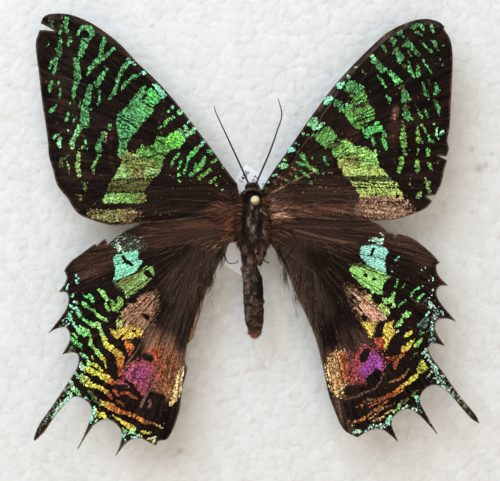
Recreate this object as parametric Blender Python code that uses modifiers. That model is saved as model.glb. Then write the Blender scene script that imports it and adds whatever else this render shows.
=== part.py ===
"""A large day-flying moth, spread and pinned above a paper label on a block of white foam.

Lengths in this file are millimetres, and MM turns them into Blender's metres when a mesh is made.
The origin is the centre of the block's underside.  +Z is up, +Y is the way the moth's head points
and +X is the moth's right.  Heights are measured from the block's underside.
"""
import math

import bmesh
import bpy
from mathutils import Matrix, Vector

MM = 0.001

# ---- driving dimensions -------------------------------------------------------------------------

BLOCK_WIDTH = 120.0        # along X
BLOCK_DEPTH = 115.0        # along Y
BLOCK_HEIGHT = 20.0
BLOCK_EDGE = 0.8           # the cut edges are slightly rounded

PIN_X = -0.2
PIN_Y = 6.35
PIN_RADIUS = 0.25
PIN_LENGTH = 38.0
PIN_POINT_HEIGHT = 7.0     # the point stops inside the foam
PIN_TAPER = 3.0            # length of the ground point
PIN_HEAD_RADIUS = 0.88
BORE_CLEARANCE = 0.1       # round the shaft, all the way down

LABEL_LENGTH = 19.2
LABEL_WIDTH = 11.6
LABEL_THICKNESS = 0.25
LABEL_HEIGHT = 22.6        # its underside at the pin
LABEL_CURL = 0.7           # how far its ends rise
LABEL_TURN = math.radians(57.0)
LABEL_PIN_ALONG = 4.1      # the pin goes through this far from the label's middle

WING_THICKNESS = 0.3
WING_ROOT_HEIGHT = 31.3    # underside of the forewings where they leave the body
HINDWING_DROP = 0.45       # the hindwings run this far below the forewings
WING_REACH = 40.0          # from the body's middle to a wing tip
WING_RISE = 2.2            # the wings rise by this much, less the sag, at full reach
WING_SAG = 1.2
WING_TWIST = 0.6           # the tips stand higher in front than behind
CUT_STEP = 7.3             # grid on which the flat outlines are cut before they are bent

BODY_GAP = 0.2             # between the body's pieces, and round the wing roots
BODY_SIDES = 20
LEG_SIDES = 6

BODY_MIDDLE_X = -0.5


# ---- the moth's outlines, as strokes that meet at corners ---------------------------------------
# Each stroke is a list of points on a smooth curve.  A stroke ends where the next one starts.

LEFT_FOREWING = [
    [(-3.65, 9.9), (-5.65, 12.45), (-8.5, 16.45), (-11.3, 20.15), (-15.0, 25.0), (-19.0, 29.55),
     (-23.0, 33.35), (-26.4, 37.0), (-30.0, 39.8), (-33.3, 41.7), (-36.7, 42.8), (-40.0, 42.8),
     (-41.3, 42.1), (-41.8, 41.0)],
    [(-41.8, 41.0), (-40.2, 40.2), (-38.95, 39.4)],
    [(-38.95, 39.4), (-40.5, 39.65), (-42.0, 39.65)],
    [(-42.0, 39.65), (-42.75, 36.8), (-42.1, 31.0), (-41.4, 24.9), (-40.85, 21.5), (-40.4, 17.8),
     (-40.2, 15.2), (-39.3, 12.1), (-38.6, 9.6), (-36.6, 7.0), (-35.3, 4.9), (-33.9, 3.65),
     (-32.1, 2.95), (-30.0, 2.25), (-27.4, 1.75), (-23.2, 2.2), (-17.6, 2.5), (-9.2, 3.4),
     (-3.6, 3.2)],
]

RIGHT_FOREWING = [
    [(0.95, 8.6), (3.0, 11.9), (5.9, 15.95), (9.0, 20.5), (12.0, 24.7), (15.0, 28.65),
     (18.0, 32.05), (21.0, 35.15), (25.0, 38.85), (28.0, 40.6), (31.0, 41.65), (33.5, 41.85),
     (35.6, 41.2), (36.6, 40.3)],
    [(36.6, 40.3), (36.4, 40.0)],
    [(36.4, 40.0), (37.6, 38.1), (38.1, 35.5), (38.15, 32.0), (37.9, 27.0), (37.6, 21.0),
     (37.15, 18.3), (37.45, 16.6), (37.0, 15.2)],
    [(37.0, 15.2), (35.4, 15.35)],
    [(35.4, 15.35), (37.1, 14.4)],
    [(37.1, 14.4), (36.5, 12.4), (36.0, 10.0), (34.9, 7.7)],
    [(34.9, 7.7), (33.1, 7.45)],
    [(33.1, 7.45), (34.2, 6.5)],
    [(34.2, 6.5), (33.2, 5.3), (31.4, 4.35), (28.6, 3.4), (25.4, 2.8), (19.0, 2.8), (9.0, 3.2),
     (2.4, 3.2)],
]

LEFT_HINDWING = [
    [(-3.6, 3.9), (-9.0, 5.2), (-15.0, 5.0), (-20.0, 3.2), (-24.0, 1.5), (-26.2, 0.3),
     (-28.9, -1.9)],
    [(-28.9, -1.9), (-29.4, -0.9), (-30.2, -1.4), (-31.0, -2.2)],
    [(-31.0, -2.2), (-31.4, -1.8)],
    [(-31.4, -1.8), (-34.2, -3.9), (-36.2, -5.4), (-37.35, -7.0)],
    [(-37.35, -7.0), (-36.85, -8.3), (-37.3, -9.7), (-38.4, -11.2)],
    [(-38.4, -11.2), (-36.9, -11.3), (-36.5, -12.8), (-37.3, -15.1), (-40.4, -19.2)],
    [(-40.4, -19.2), (-38.8, -18.3), (-37.2, -18.1), (-36.3, -19.2), (-36.4, -20.9),
     (-37.7, -23.35)],
    [(-37.7, -23.35), (-36.3, -23.0), (-34.9, -23.2), (-34.5, -24.4), (-35.1, -26.4),
     (-37.15, -29.65), (-39.95, -33.75), (-42.2, -36.95), (-43.3, -39.6), (-43.1, -40.25)],
    [(-43.1, -40.25), (-41.2, -38.35), (-39.7, -36.1), (-37.6, -33.5), (-35.9, -31.8),
     (-34.2, -31.7), (-32.5, -33.0), (-31.95, -34.8), (-33.1, -38.1), (-34.8, -41.9)],
    [(-34.8, -41.9), (-32.9, -38.9), (-31.4, -37.0), (-29.4, -36.0), (-27.4, -36.8),
     (-26.2, -38.5), (-26.4, -40.6), (-27.3, -43.1)],
    [(-27.3, -43.1), (-25.8, -41.2), (-24.2, -39.9), (-22.4, -39.7), (-20.7, -40.6),
     (-19.5, -41.1)],
    [(-19.5, -41.1), (-19.0, -40.25), (-17.3, -39.8), (-15.9, -37.3), (-14.9, -34.0),
     (-14.4, -30.0), (-13.5, -26.4), (-13.9, -24.5), (-13.4, -21.3)],
    [(-13.4, -21.3), (-12.3, -20.0), (-11.0, -15.6), (-9.7, -11.2), (-8.2, -7.85), (-6.4, -3.9),
     (-5.2, -1.6), (-3.7, -0.8)],
]

RIGHT_HINDWING = [
    [(2.4, 3.9), (9.0, 5.2), (15.0, 5.0), (20.0, 3.6), (24.0, 1.9), (25.6, 0.5), (26.5, 0.3),
     (27.15, -0.4)],
    [(27.15, -0.4), (27.6, 0.15)],
    [(27.6, 0.15), (30.0, -0.5), (32.0, -1.8), (34.0, -3.5), (35.8, -5.4)],
    [(35.8, -5.4), (35.1, -6.3), (35.5, -7.9), (37.35, -9.95)],
    [(37.35, -9.95), (35.9, -10.0), (35.15, -11.0), (35.4, -12.5), (36.6, -14.2), (38.9, -16.9)],
    [(38.9, -16.9), (37.2, -16.35), (35.7, -16.55), (34.9, -17.5), (35.1, -19.0), (36.75, -21.7)],
    [(36.75, -21.7), (35.4, -21.3), (34.2, -21.3), (33.65, -22.3), (34.2, -23.9), (36.6, -27.1),
     (39.4, -31.1), (42.0, -34.2), (43.0, -35.5), (43.55, -36.85)],
    [(43.55, -36.85), (41.7, -35.6), (38.3, -31.65), (36.6, -30.15), (35.0, -29.3),
     (33.3, -29.8), (32.1, -31.3), (32.1, -33.0), (33.5, -35.6), (35.35, -38.95)],
    [(35.35, -38.95), (33.0, -36.3), (31.4, -34.85), (29.5, -33.95), (27.6, -34.7),
     (26.5, -36.2), (26.6, -37.7), (27.7, -40.4)],
    [(27.7, -40.4), (26.1, -39.0), (24.8, -38.1), (23.2, -37.9), (21.5, -38.5), (19.8, -39.55)],
    [(19.8, -39.55), (17.8, -38.6), (16.6, -37.25), (15.6, -35.0), (14.2, -31.2), (13.6, -28.4),
     (12.8, -24.6), (11.6, -20.1), (9.9, -16.0), (7.9, -11.8), (6.7, -8.9), (5.6, -6.2),
     (4.4, -4.2), (3.2, -2.3), (2.5, -1.6)],
]

# ---- the body, as rings across Y: place along Y, middle X, half width, middle height, half height

THORAX_RINGS = [
    (8.15, -0.75, 0.9, 31.3, 1.2), (7.9, -0.75, 1.6, 31.25, 1.9), (7.0, -0.75, 2.15, 31.2, 2.6),
    (5.5, -0.75, 2.45, 31.2, 3.1), (3.4, -0.65, 2.6, 31.2, 3.3), (1.0, -0.6, 2.7, 31.2, 3.25),
    (-1.3, -0.6, 2.7, 31.1, 2.95), (-3.0, -0.65, 2.55, 30.95, 2.55),
    (-4.5, -0.7, 2.35, 30.85, 2.2), (-5.3, -0.75, 1.9, 30.75, 1.7),
]

# The abdomen's rings between its ends follow this profile, and each segment bulges between joints.
ABDOMEN_FRONT = -5.5
ABDOMEN_TIP = -20.1
ABDOMEN_SEGMENTS = 7
ABDOMEN_BULGE = 0.07
ABDOMEN_PROFILE = [
    (-5.5, -1.2, 1.3, 30.65, 1.2), (-6.4, -1.35, 1.72, 30.65, 1.65),
    (-8.3, -0.65, 1.95, 30.6, 2.0), (-12.0, -0.5, 2.05, 30.5, 2.05),
    (-16.0, -0.35, 1.9, 30.4, 1.8), (-18.2, -0.2, 1.5, 30.3, 1.35),
    (-19.5, -0.3, 0.85, 30.3, 0.8), (-20.1, -0.3, 0.25, 30.3, 0.25),
]

HEAD_MIDDLE = (-0.75, 9.12, 30.6)
HEAD_HALF_SIZE = (1.15, 0.76, 1.3)
EYE_RADIUS = 0.62
EYE_SPREAD = 0.82
EYE_FORWARD = 0.12
PALP_RADIUS = 0.3
PALP_SPREAD = 0.3
PALP_FORWARD = 0.62
PALP_DROP = 0.75

# ---- antennae and legs, as centre lines (x, y, height) and end radii ------------------------------

ANTENNA_RADII = (0.2, 0.1)
ANTENNAE = {
    "left": [(-1.5, 10.05, 31.3), (-3.1, 13.6, 31.9), (-5.8, 19.4, 32.3), (-7.75, 23.6, 32.5),
             (-8.1, 24.9, 32.6)],
    "right": [(0.1, 10.0, 31.3), (0.75, 11.6, 31.7), (2.65, 16.0, 32.3), (4.1, 20.1, 32.8),
              (5.0, 23.2, 33.2), (4.3, 26.3, 33.5)],
}

# A leg starts under the thorax, BODY_GAP clear of it, so its first point has no height here.
LEG_RADII = (0.36, 0.12)
LEGS = {
    "foreleg_left": [(-1.5, 6.6), (-1.7, 7.4, 26.9), (-1.3, 6.2, 25.9), (-1.3, 3.9, 25.6)],
    "foreleg_right": [(0.75, 6.2), (0.8, 7.2, 27.0), (0.6, 5.6, 25.9), (0.4, 3.2, 25.7)],
    "midleg_left": [(-1.9, 2.6), (-2.6, 4.0, 26.4), (-2.4, 1.4, 25.4), (-1.6, -1.2, 25.2)],
    "midleg_right": [(0.9, 2.4), (1.4, 3.9, 26.6), (1.3, 1.2, 25.6), (0.5, -1.4, 25.4)],
    "hindleg_left": [(-1.9, -1.4), (-3.4, -1.0, 27.2), (-5.3, -1.7, 27.8), (-6.05, -3.3, 27.9),
                     (-6.1, -4.4, 27.7), (-5.4, -5.6, 27.3), (-3.8, -5.55, 26.9),
                     (-3.6, -5.1, 26.7)],
    "hindleg_right": [(0.8, -1.6), (1.2, -3.2, 27.0), (1.4, -4.7, 27.3), (2.0, -5.35, 27.4),
                      (2.5, -5.6, 27.1)],
}


# ---- materials and collections --------------------------------------------------------------------

def make_material(name, colour, roughness, metallic=0.0):
    """A plain Principled material."""
    material = bpy.data.materials.new(name)
    material.use_nodes = True
    shader = material.node_tree.nodes["Principled BSDF"]
    shader.inputs["Base Color"].default_value = (*colour, 1.0)
    shader.inputs["Roughness"].default_value = roughness
    shader.inputs["Metallic"].default_value = metallic
    return material


def add_object(name, mesh, collection, material=None):
    """An object at the origin that shows the mesh."""
    if material:
        mesh.materials.clear()
        mesh.materials.append(material)
    piece = bpy.data.objects.new(name, mesh)
    collection.objects.link(piece)
    return piece


def add_cutter(name, mesh, collection):
    """An object that only shapes others."""
    cutter = add_object(name, mesh, collection)
    cutter.hide_render = True
    cutter.display_type = "WIRE"
    return cutter


def add_boolean(piece, cutter, operation="DIFFERENCE"):
    """Cut the piece by the cutter, or join the cutter to it."""
    modifier = piece.modifiers.new(cutter.name, "BOOLEAN")
    modifier.operation = operation
    modifier.solver = "EXACT"
    modifier.object = cutter


def mesh_from_bmesh(name, bm, smooth_angle=None):
    """A mesh with the bmesh's faces, shaded smooth where they meet below the angle."""
    mesh = bpy.data.meshes.new(name)
    bm.to_mesh(mesh)
    bm.free()
    if smooth_angle:
        mesh.shade_smooth()
        mesh.set_sharp_from_angle(angle=math.radians(smooth_angle))
    return mesh


# ---- curves -----------------------------------------------------------------------------------------

def along_curve(points, spans):
    """Points on a Catmull-Rom curve through the given ones, `spans` to each stretch."""
    knots = [Vector(point) for point in points]
    if len(knots) < 3:
        return knots
    ends = [2 * knots[0] - knots[1], *knots, 2 * knots[-1] - knots[-2]]
    found = []
    for index in range(1, len(ends) - 2):
        before, start, end, after = ends[index - 1:index + 3]
        for step in range(spans):
            t = step / spans
            found.append(0.5 * (2 * start + (end - before) * t
                                + (2 * before - 5 * start + 4 * end - after) * t * t
                                + (3 * start - before - 3 * end + after) * t * t * t))
    return [*found, knots[-1]]


def profile_at(rings, y):
    """Middle x, half width, middle height and half height of a body at y, between its rings."""
    ordered = sorted(rings)
    y = min(max(y, ordered[0][0]), ordered[-1][0])
    for low, high in zip(ordered, ordered[1:]):
        if y <= high[0]:
            t = (y - low[0]) / (high[0] - low[0])
            return [a + (b - a) * t for a, b in zip(low[1:], high[1:])]
    return list(ordered[-1][1:])


# ---- wings --------------------------------------------------------------------------------------------

def wing_height(x, y):
    """Height of the forewings' underside: they rise from the body, sag outward and twist."""
    out = abs(x - BODY_MIDDLE_X) / WING_REACH
    return WING_ROOT_HEIGHT + WING_RISE * out - WING_SAG * out ** 2 + WING_TWIST * out * y / WING_REACH


def wing_outline(strokes, side):
    """The strokes as one closed outline, with the root drawn along the thorax."""
    points = []
    for stroke in strokes:
        points += along_curve(stroke, 2)[:-1]
    last = strokes[-1][-1]
    first_y = min(strokes[0][0][1], THORAX_RINGS[2][0])
    for step in range(4):
        y = last[1] + (first_y - last[1]) * step / 3
        middle, half_width = profile_at(THORAX_RINGS, y)[:2]
        points.append(Vector((middle + side * (half_width + BODY_GAP), y)))
    return points


def flat_slab(points, thickness):
    """A closed mesh of a flat outline, from a filled and extruded curve."""
    curve = bpy.data.curves.new("outline", "CURVE")
    curve.dimensions = "2D"
    curve.fill_mode = "BOTH"
    curve.extrude = thickness / 2
    spline = curve.splines.new("POLY")
    spline.points.add(len(points) - 1)
    for place, point in zip(spline.points, points):
        place.co = (point.x, point.y, 0.0, 1.0)
    spline.use_cyclic_u = True
    drawn = bpy.data.objects.new("outline", curve)
    bpy.context.scene.collection.objects.link(drawn)
    bpy.context.view_layer.update()
    evaluated = drawn.evaluated_get(bpy.context.evaluated_depsgraph_get())
    mesh = bpy.data.meshes.new_from_object(evaluated)
    bm = bmesh.new()
    bm.from_mesh(mesh)
    bmesh.ops.remove_doubles(bm, verts=bm.verts, dist=0.001)
    bpy.data.objects.remove(drawn)
    bpy.data.curves.remove(curve)
    bpy.data.meshes.remove(mesh)
    return bm


def cut_on_grid(bm, step):
    """Cut the mesh along lines across X and Y, so that it can be bent."""
    reach = int(60 / step)
    for axis in (Vector((1, 0, 0)), Vector((0, 1, 0))):
        for index in range(-reach, reach + 1):
            geometry = [*bm.verts, *bm.edges, *bm.faces]
            place = axis * (index + 0.37) * step
            bmesh.ops.bisect_plane(bm, geom=geometry, dist=0.0001, plane_co=place, plane_no=axis)


def make_wing(name, strokes, side, drop, collection, material):
    """A thin sheet with the wing's outline, bent to the wing's surface."""
    bm = flat_slab(wing_outline(strokes, side), WING_THICKNESS)
    cut_on_grid(bm, CUT_STEP)
    bmesh.ops.triangulate(bm, faces=bm.faces)
    for vertex in bm.verts:
        vertex.co.z += wing_height(vertex.co.x, vertex.co.y) - drop + WING_THICKNESS / 2
    bmesh.ops.scale(bm, vec=(MM, MM, MM), verts=bm.verts)
    bmesh.ops.recalc_face_normals(bm, faces=bm.faces)
    return add_object(name, mesh_from_bmesh(name, bm, 30), collection, material)


# ---- body ---------------------------------------------------------------------------------------------

def loft(name, rings, smooth_angle=60):
    """A closed body through upright oval rings that follow one another along Y."""
    bm = bmesh.new()
    loops = []
    for y, middle_x, half_width, middle_z, half_height in rings:
        loop = []
        for side in range(BODY_SIDES):
            angle = 2 * math.pi * side / BODY_SIDES
            x = middle_x + half_width * math.cos(angle)
            z = middle_z + half_height * math.sin(angle)
            loop.append(bm.verts.new((x * MM, y * MM, z * MM)))
        loops.append(loop)
    for near, far in zip(loops, loops[1:]):
        for side in range(BODY_SIDES):
            after = (side + 1) % BODY_SIDES
            bm.faces.new((near[side], near[after], far[after], far[side]))
    bm.faces.new(loops[0])
    bm.faces.new(loops[-1])
    bmesh.ops.recalc_face_normals(bm, faces=bm.faces)
    return mesh_from_bmesh(name, bm, smooth_angle)


def abdomen_rings():
    """Three rings to a segment: each segment bulges a little between its joints."""
    steps = 3 * ABDOMEN_SEGMENTS
    rings = []
    for step in range(steps + 1):
        y = ABDOMEN_FRONT + (ABDOMEN_TIP - ABDOMEN_FRONT) * step / steps
        middle_x, half_width, middle_z, half_height = profile_at(ABDOMEN_PROFILE, y)
        bulge = 0.0 if step in (0, steps) else ABDOMEN_BULGE * (-1 if step % 3 == 0 else 1)
        rings.append((y, middle_x, half_width + bulge, middle_z, half_height + bulge))
    return rings


def ball_mesh(name, middle, half_size, around, up):
    """A closed oval ball."""
    bm = bmesh.new()
    bmesh.ops.create_uvsphere(bm, u_segments=around, v_segments=up, radius=1.0)
    bmesh.ops.scale(bm, vec=Vector(half_size) * MM, verts=bm.verts)
    bmesh.ops.translate(bm, vec=Vector(middle) * MM, verts=bm.verts)
    return mesh_from_bmesh(name, bm, 60)


def make_head(collection, cutters, material):
    """The head, with its two eyes and two palps grown on it."""
    head = add_object("head", ball_mesh("head", HEAD_MIDDLE, HEAD_HALF_SIZE, 18, 12),
                      collection, material)
    x, y, z = HEAD_MIDDLE
    for side_name, side in (("left", -1), ("right", 1)):
        eye_middle = (x + side * EYE_SPREAD, y + EYE_FORWARD, z)
        eye = ball_mesh(f"eye_{side_name}", eye_middle, (EYE_RADIUS,) * 3, 12, 8)
        add_boolean(head, add_cutter(f"eye_{side_name}_shape", eye, cutters), "UNION")
        palp_middle = (x + side * PALP_SPREAD, y + PALP_FORWARD, z - PALP_DROP)
        palp_size = (PALP_RADIUS * 0.8, PALP_RADIUS, PALP_RADIUS * 2)
        palp = ball_mesh(f"palp_{side_name}", palp_middle, palp_size, 8, 6)
        add_boolean(head, add_cutter(f"palp_{side_name}_shape", palp, cutters), "UNION")
    return head


def make_limb(name, points, radii, spans, collection, material):
    """A tapering tube along a smooth centre line."""
    path = along_curve(points, spans)
    curve = bpy.data.curves.new(name, "CURVE")
    curve.dimensions = "3D"
    curve.bevel_depth = MM
    curve.bevel_resolution = (LEG_SIDES - 4) // 2
    curve.use_fill_caps = True
    spline = curve.splines.new("POLY")
    spline.points.add(len(path) - 1)
    for index, (place, point) in enumerate(zip(spline.points, path)):
        place.co = (*(point * MM), 1.0)
        place.radius = radii[0] + (radii[1] - radii[0]) * index / (len(path) - 1)
    curve.materials.append(material)
    limb = bpy.data.objects.new(name, curve)
    collection.objects.link(limb)
    return limb


def leg_points(points):
    """The leg's centre line, with its first point set just under the thorax."""
    x, y = points[0]
    middle_x, half_width, middle_z, half_height = profile_at(THORAX_RINGS, y)
    across = min(abs(x - middle_x) / half_width, 0.95)
    top = middle_z - half_height * math.sqrt(1 - across ** 2) - BODY_GAP - 0.6 * LEG_RADII[0] * across
    return [(x, y, top), (x, y, top - 0.7), *points[1:]]


# ---- pin, label and block ---------------------------------------------------------------------------

def turned(name, profile, steps, collection, material):
    """A solid of revolution about the pin's axis, from (radius, height) pairs, top to bottom."""
    mesh = bpy.data.meshes.new(name)
    verts = [(radius * MM, 0.0, height * MM) for radius, height in profile]
    mesh.from_pydata(verts, [(i, i + 1) for i in range(len(verts) - 1)], [])
    piece = add_object(name, mesh, collection, material)
    piece.location = (PIN_X * MM, PIN_Y * MM, 0.0)
    screw = piece.modifiers.new("turn", "SCREW")
    screw.axis = "Z"
    screw.steps = steps
    screw.render_steps = steps
    screw.use_merge_vertices = True
    screw.merge_threshold = 0.000001
    screw.use_smooth_shade = True
    return piece


def make_pin(collection, steel, glass):
    """The steel shaft with its ground point, and the round head on its top."""
    top = PIN_POINT_HEIGHT + PIN_LENGTH
    shaft = [(0.0, top), (PIN_RADIUS, top), (PIN_RADIUS, PIN_POINT_HEIGHT + PIN_TAPER),
             (0.0, PIN_POINT_HEIGHT)]
    turned("pin_shaft", shaft, 12, collection, steel)

    socket = PIN_RADIUS + BORE_CLEARANCE
    middle = top - PIN_HEAD_RADIUS * 0.35
    last = math.acos(socket / PIN_HEAD_RADIUS) + math.pi / 2
    ball = []
    for step in range(11):
        angle = last * step / 10
        ball.append((PIN_HEAD_RADIUS * math.sin(angle), middle + PIN_HEAD_RADIUS * math.cos(angle)))
    ball[0] = (0.0, middle + PIN_HEAD_RADIUS)
    ball += [(socket, top + BORE_CLEARANCE), (0.0, top + BORE_CLEARANCE)]
    turned("pin_head", ball, 20, collection, glass)


def make_bore_cutter(cutters):
    """The hole that the pin makes in the foam, the label and the thorax."""
    low = PIN_POINT_HEIGHT - BORE_CLEARANCE
    high = PIN_POINT_HEIGHT + PIN_LENGTH
    bm = bmesh.new()
    radius = (PIN_RADIUS + BORE_CLEARANCE) * MM
    place = Matrix.Translation(Vector((PIN_X, PIN_Y, (low + high) / 2)) * MM)
    bmesh.ops.create_cone(bm, cap_ends=True, segments=16, radius1=radius, radius2=radius,
                          depth=(high - low) * MM, matrix=place)
    return add_cutter("pin_bore", mesh_from_bmesh("pin_bore", bm), cutters)


def make_label(collection, bore, material):
    """A slip of paper on the pin, its two ends curled up a little."""
    bm = bmesh.new()
    bmesh.ops.create_cube(bm, size=1.0)
    bmesh.ops.scale(bm, vec=(LABEL_LENGTH, LABEL_WIDTH, LABEL_THICKNESS), verts=bm.verts)
    for index in range(1, 8):
        place = Vector((LABEL_LENGTH * (index / 8 - 0.5), 0, 0))
        bmesh.ops.bisect_plane(bm, geom=[*bm.verts, *bm.edges, *bm.faces], dist=0.0001,
                               plane_co=place, plane_no=Vector((1, 0, 0)))
    for vertex in bm.verts:
        along = (vertex.co.x - LABEL_PIN_ALONG) / LABEL_LENGTH
        vertex.co.z += LABEL_THICKNESS / 2 + LABEL_CURL * along ** 2
        vertex.co.x -= LABEL_PIN_ALONG
    bmesh.ops.rotate(bm, cent=(0, 0, 0), matrix=Matrix.Rotation(LABEL_TURN, 3, "Z"), verts=bm.verts)
    bmesh.ops.translate(bm, vec=(PIN_X, PIN_Y, LABEL_HEIGHT), verts=bm.verts)
    bmesh.ops.scale(bm, vec=(MM, MM, MM), verts=bm.verts)
    label = add_object("data_label", mesh_from_bmesh("data_label", bm, 30), collection, material)
    add_boolean(label, bore)
    return label


def make_block(collection, bore, material):
    """The foam block, its edges slightly rounded, with the pin's blind hole."""
    bm = bmesh.new()
    bmesh.ops.create_cube(bm, size=1.0)
    bmesh.ops.scale(bm, vec=Vector((BLOCK_WIDTH, BLOCK_DEPTH, BLOCK_HEIGHT)) * MM, verts=bm.verts)
    bmesh.ops.translate(bm, vec=(0, 0, BLOCK_HEIGHT / 2 * MM), verts=bm.verts)
    block = add_object("foam_block", mesh_from_bmesh("foam_block", bm), collection, material)
    bevel = block.modifiers.new("worn edges", "BEVEL")
    bevel.width = BLOCK_EDGE * MM
    bevel.segments = 2
    add_boolean(block, bore)
    return block


# ---- the whole object ---------------------------------------------------------------------------------

def main():
    """Build every piece of the mounted moth."""
    for old in list(bpy.data.objects):
        bpy.data.objects.remove(old)
    collection = bpy.data.collections.new("pinned_moth")
    cutters = bpy.data.collections.new("cutters")
    bpy.context.scene.collection.children.link(collection)
    bpy.context.scene.collection.children.link(cutters)

    foam = make_material("foam", (0.84, 0.84, 0.82), 0.8)
    paper = make_material("paper", (0.75, 0.76, 0.85), 0.85)
    steel = make_material("pin_steel", (0.35, 0.33, 0.3), 0.35, 1.0)
    ivory = make_material("pin_ivory", (0.8, 0.64, 0.4), 0.25)
    wing = make_material("wing", (0.03, 0.02, 0.015), 0.7)
    body = make_material("body", (0.06, 0.04, 0.03), 0.85)
    limb = make_material("limb", (0.04, 0.025, 0.02), 0.5)

    bore = make_bore_cutter(cutters)
    make_block(collection, bore, foam)
    make_label(collection, bore, paper)
    make_pin(collection, steel, ivory)

    thorax = add_object("thorax", loft("thorax", THORAX_RINGS), collection, body)
    add_boolean(thorax, bore)
    add_object("abdomen", loft("abdomen", abdomen_rings()), collection, body)
    make_head(collection, cutters, body)

    make_wing("forewing_left", LEFT_FOREWING, -1, 0.0, collection, wing)
    make_wing("forewing_right", RIGHT_FOREWING, 1, 0.0, collection, wing)
    make_wing("hindwing_left", LEFT_HINDWING, -1, HINDWING_DROP, collection, wing)
    make_wing("hindwing_right", RIGHT_HINDWING, 1, HINDWING_DROP, collection, wing)

    for side, points in ANTENNAE.items():
        make_limb(f"antenna_{side}", points, ANTENNA_RADII, 3, collection, limb)
    for name, points in LEGS.items():
        make_limb(name, leg_points(points), LEG_RADII, 3, collection, limb)


main()
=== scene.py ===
# %% [markdown]
# # A pinned day-flying moth on foam
#
# The photo looks straight down on a large dried moth.  Its wings are spread and its patches of
# metallic scales show every colour from turquoise to magenta.  One long pin goes through the
# thorax, through a paper label and into a white block of expanded polystyrene.
#
# This notebook dresses the plain solids of that specimen.  It works in millimetres and turns them
# into metres only when a mesh is stored.  +Z is up the pin and +Y is the way the head points.

import math

import bpy
import numpy as np
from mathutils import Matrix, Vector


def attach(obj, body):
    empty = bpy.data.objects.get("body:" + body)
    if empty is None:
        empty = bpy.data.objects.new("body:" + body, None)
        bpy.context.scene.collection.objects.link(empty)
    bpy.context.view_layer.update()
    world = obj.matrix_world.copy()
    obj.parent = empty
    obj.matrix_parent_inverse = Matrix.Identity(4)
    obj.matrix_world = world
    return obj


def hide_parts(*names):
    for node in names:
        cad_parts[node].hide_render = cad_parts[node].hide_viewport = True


MM = 0.001
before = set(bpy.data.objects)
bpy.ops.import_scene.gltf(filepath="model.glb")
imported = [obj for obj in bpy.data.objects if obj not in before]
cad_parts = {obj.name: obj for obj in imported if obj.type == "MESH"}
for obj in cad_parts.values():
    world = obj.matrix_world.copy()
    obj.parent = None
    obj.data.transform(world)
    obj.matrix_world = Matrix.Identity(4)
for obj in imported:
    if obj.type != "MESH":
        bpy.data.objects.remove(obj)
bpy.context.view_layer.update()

# %% [markdown]
# ## From arrays to a piece
#
# Every piece here is a few numpy arrays: points, faces, and paint, which is one number or colour
# for each point.  They could be typed in through `bmesh`, one vertex at a time.  Storing whole
# arrays with `foreach_set` is many times faster, and it keeps each shape a formula.

# %% Storing arrays in a mesh
def to_linear(colour):
    """Screen colours from 0 to 255 as linear light: a straight toe, then a power of 2.4."""
    screen = np.asarray(colour, float) / 255
    return np.where(screen < 0.04045, screen / 12.92, ((screen + 0.055) / 1.055) ** 2.4)


def store_paint(mesh, paint):
    """One value a point: a number, or three places, or a linear colour with an amount."""
    for name, values in paint.items():
        width = 1 if values.ndim == 1 else values.shape[1]
        kind, field = {1: ("FLOAT", "value"), 3: ("FLOAT_VECTOR", "vector"),
                       4: ("FLOAT_COLOR", "color")}[width]
        layer = mesh.attributes.new(name, kind, "POINT")
        layer.data.foreach_set(field, values.astype(np.float32).ravel())


def make_piece(name, points, faces, material, slot, stands_for=(), smooth=True, **paint):
    """A mesh object from points in millimetres and arrays of faces with equal corner counts."""
    faces = [part for part in faces if len(part)]
    corners = np.concatenate([part.ravel() for part in faces])
    sizes = np.concatenate([np.full(len(part), part.shape[1]) for part in faces])
    mesh = bpy.data.meshes.new(name)
    mesh.vertices.add(len(points))
    mesh.vertices.foreach_set("co", (points * MM).astype(np.float32).ravel())
    mesh.loops.add(len(corners))
    mesh.loops.foreach_set("vertex_index", corners.astype(np.int32))
    mesh.polygons.add(len(sizes))
    mesh.polygons.foreach_set("loop_start", (np.cumsum(sizes) - sizes).astype(np.int32))
    mesh.polygons.foreach_set("use_smooth", np.full(len(sizes), smooth))
    mesh.update(calc_edges=True)
    store_paint(mesh, paint)
    mesh.materials.append(material)
    piece = bpy.data.objects.new(name, mesh)
    bpy.context.scene.collection.objects.link(piece)
    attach(piece, "root")
    if stands_for:
        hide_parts(*stands_for)
    print(f"{name}: {len(points)} points, {(sizes - 2).sum()} triangles")

# %% [markdown]
# ## Smooth lines
#
# Outlines, veins, legs and feelers all follow lines drawn through a few chosen places.  A Bezier
# curve would need handles as well.  A Catmull-Rom curve goes through the places themselves.

# %% A smooth line, and a tube round one
def smooth_line(places, spans):
    """Each stretch is a cubic, whose slope at a place is that of a line past its neighbours."""
    p = np.asarray(places, float)
    if len(p) < 3:
        return p
    p = np.vstack([2 * p[0] - p[1], p, 2 * p[-1] - p[-2]])
    a, b, c, d = (p[i:len(p) - 3 + i, None] for i in range(4))
    t = (np.arange(spans) / spans)[None, :, None]
    cubic = 0.5 * (2 * b + (c - a) * t + (2 * a - 5 * b + 4 * c - d) * t ** 2
                   + (3 * b - a - 3 * c + d) * t ** 3)
    return np.vstack([cubic.reshape(-1, p.shape[1]), p[-2]])


def unit(vectors):
    """Vectors divided by their lengths."""
    return vectors / np.maximum(np.linalg.norm(vectors, axis=-1, keepdims=True), 1e-9)


def reach_along(line):
    """How far along a line each of its points lies."""
    return np.concatenate([[0], np.cumsum(np.linalg.norm(np.diff(line, axis=0), axis=1))])


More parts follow.
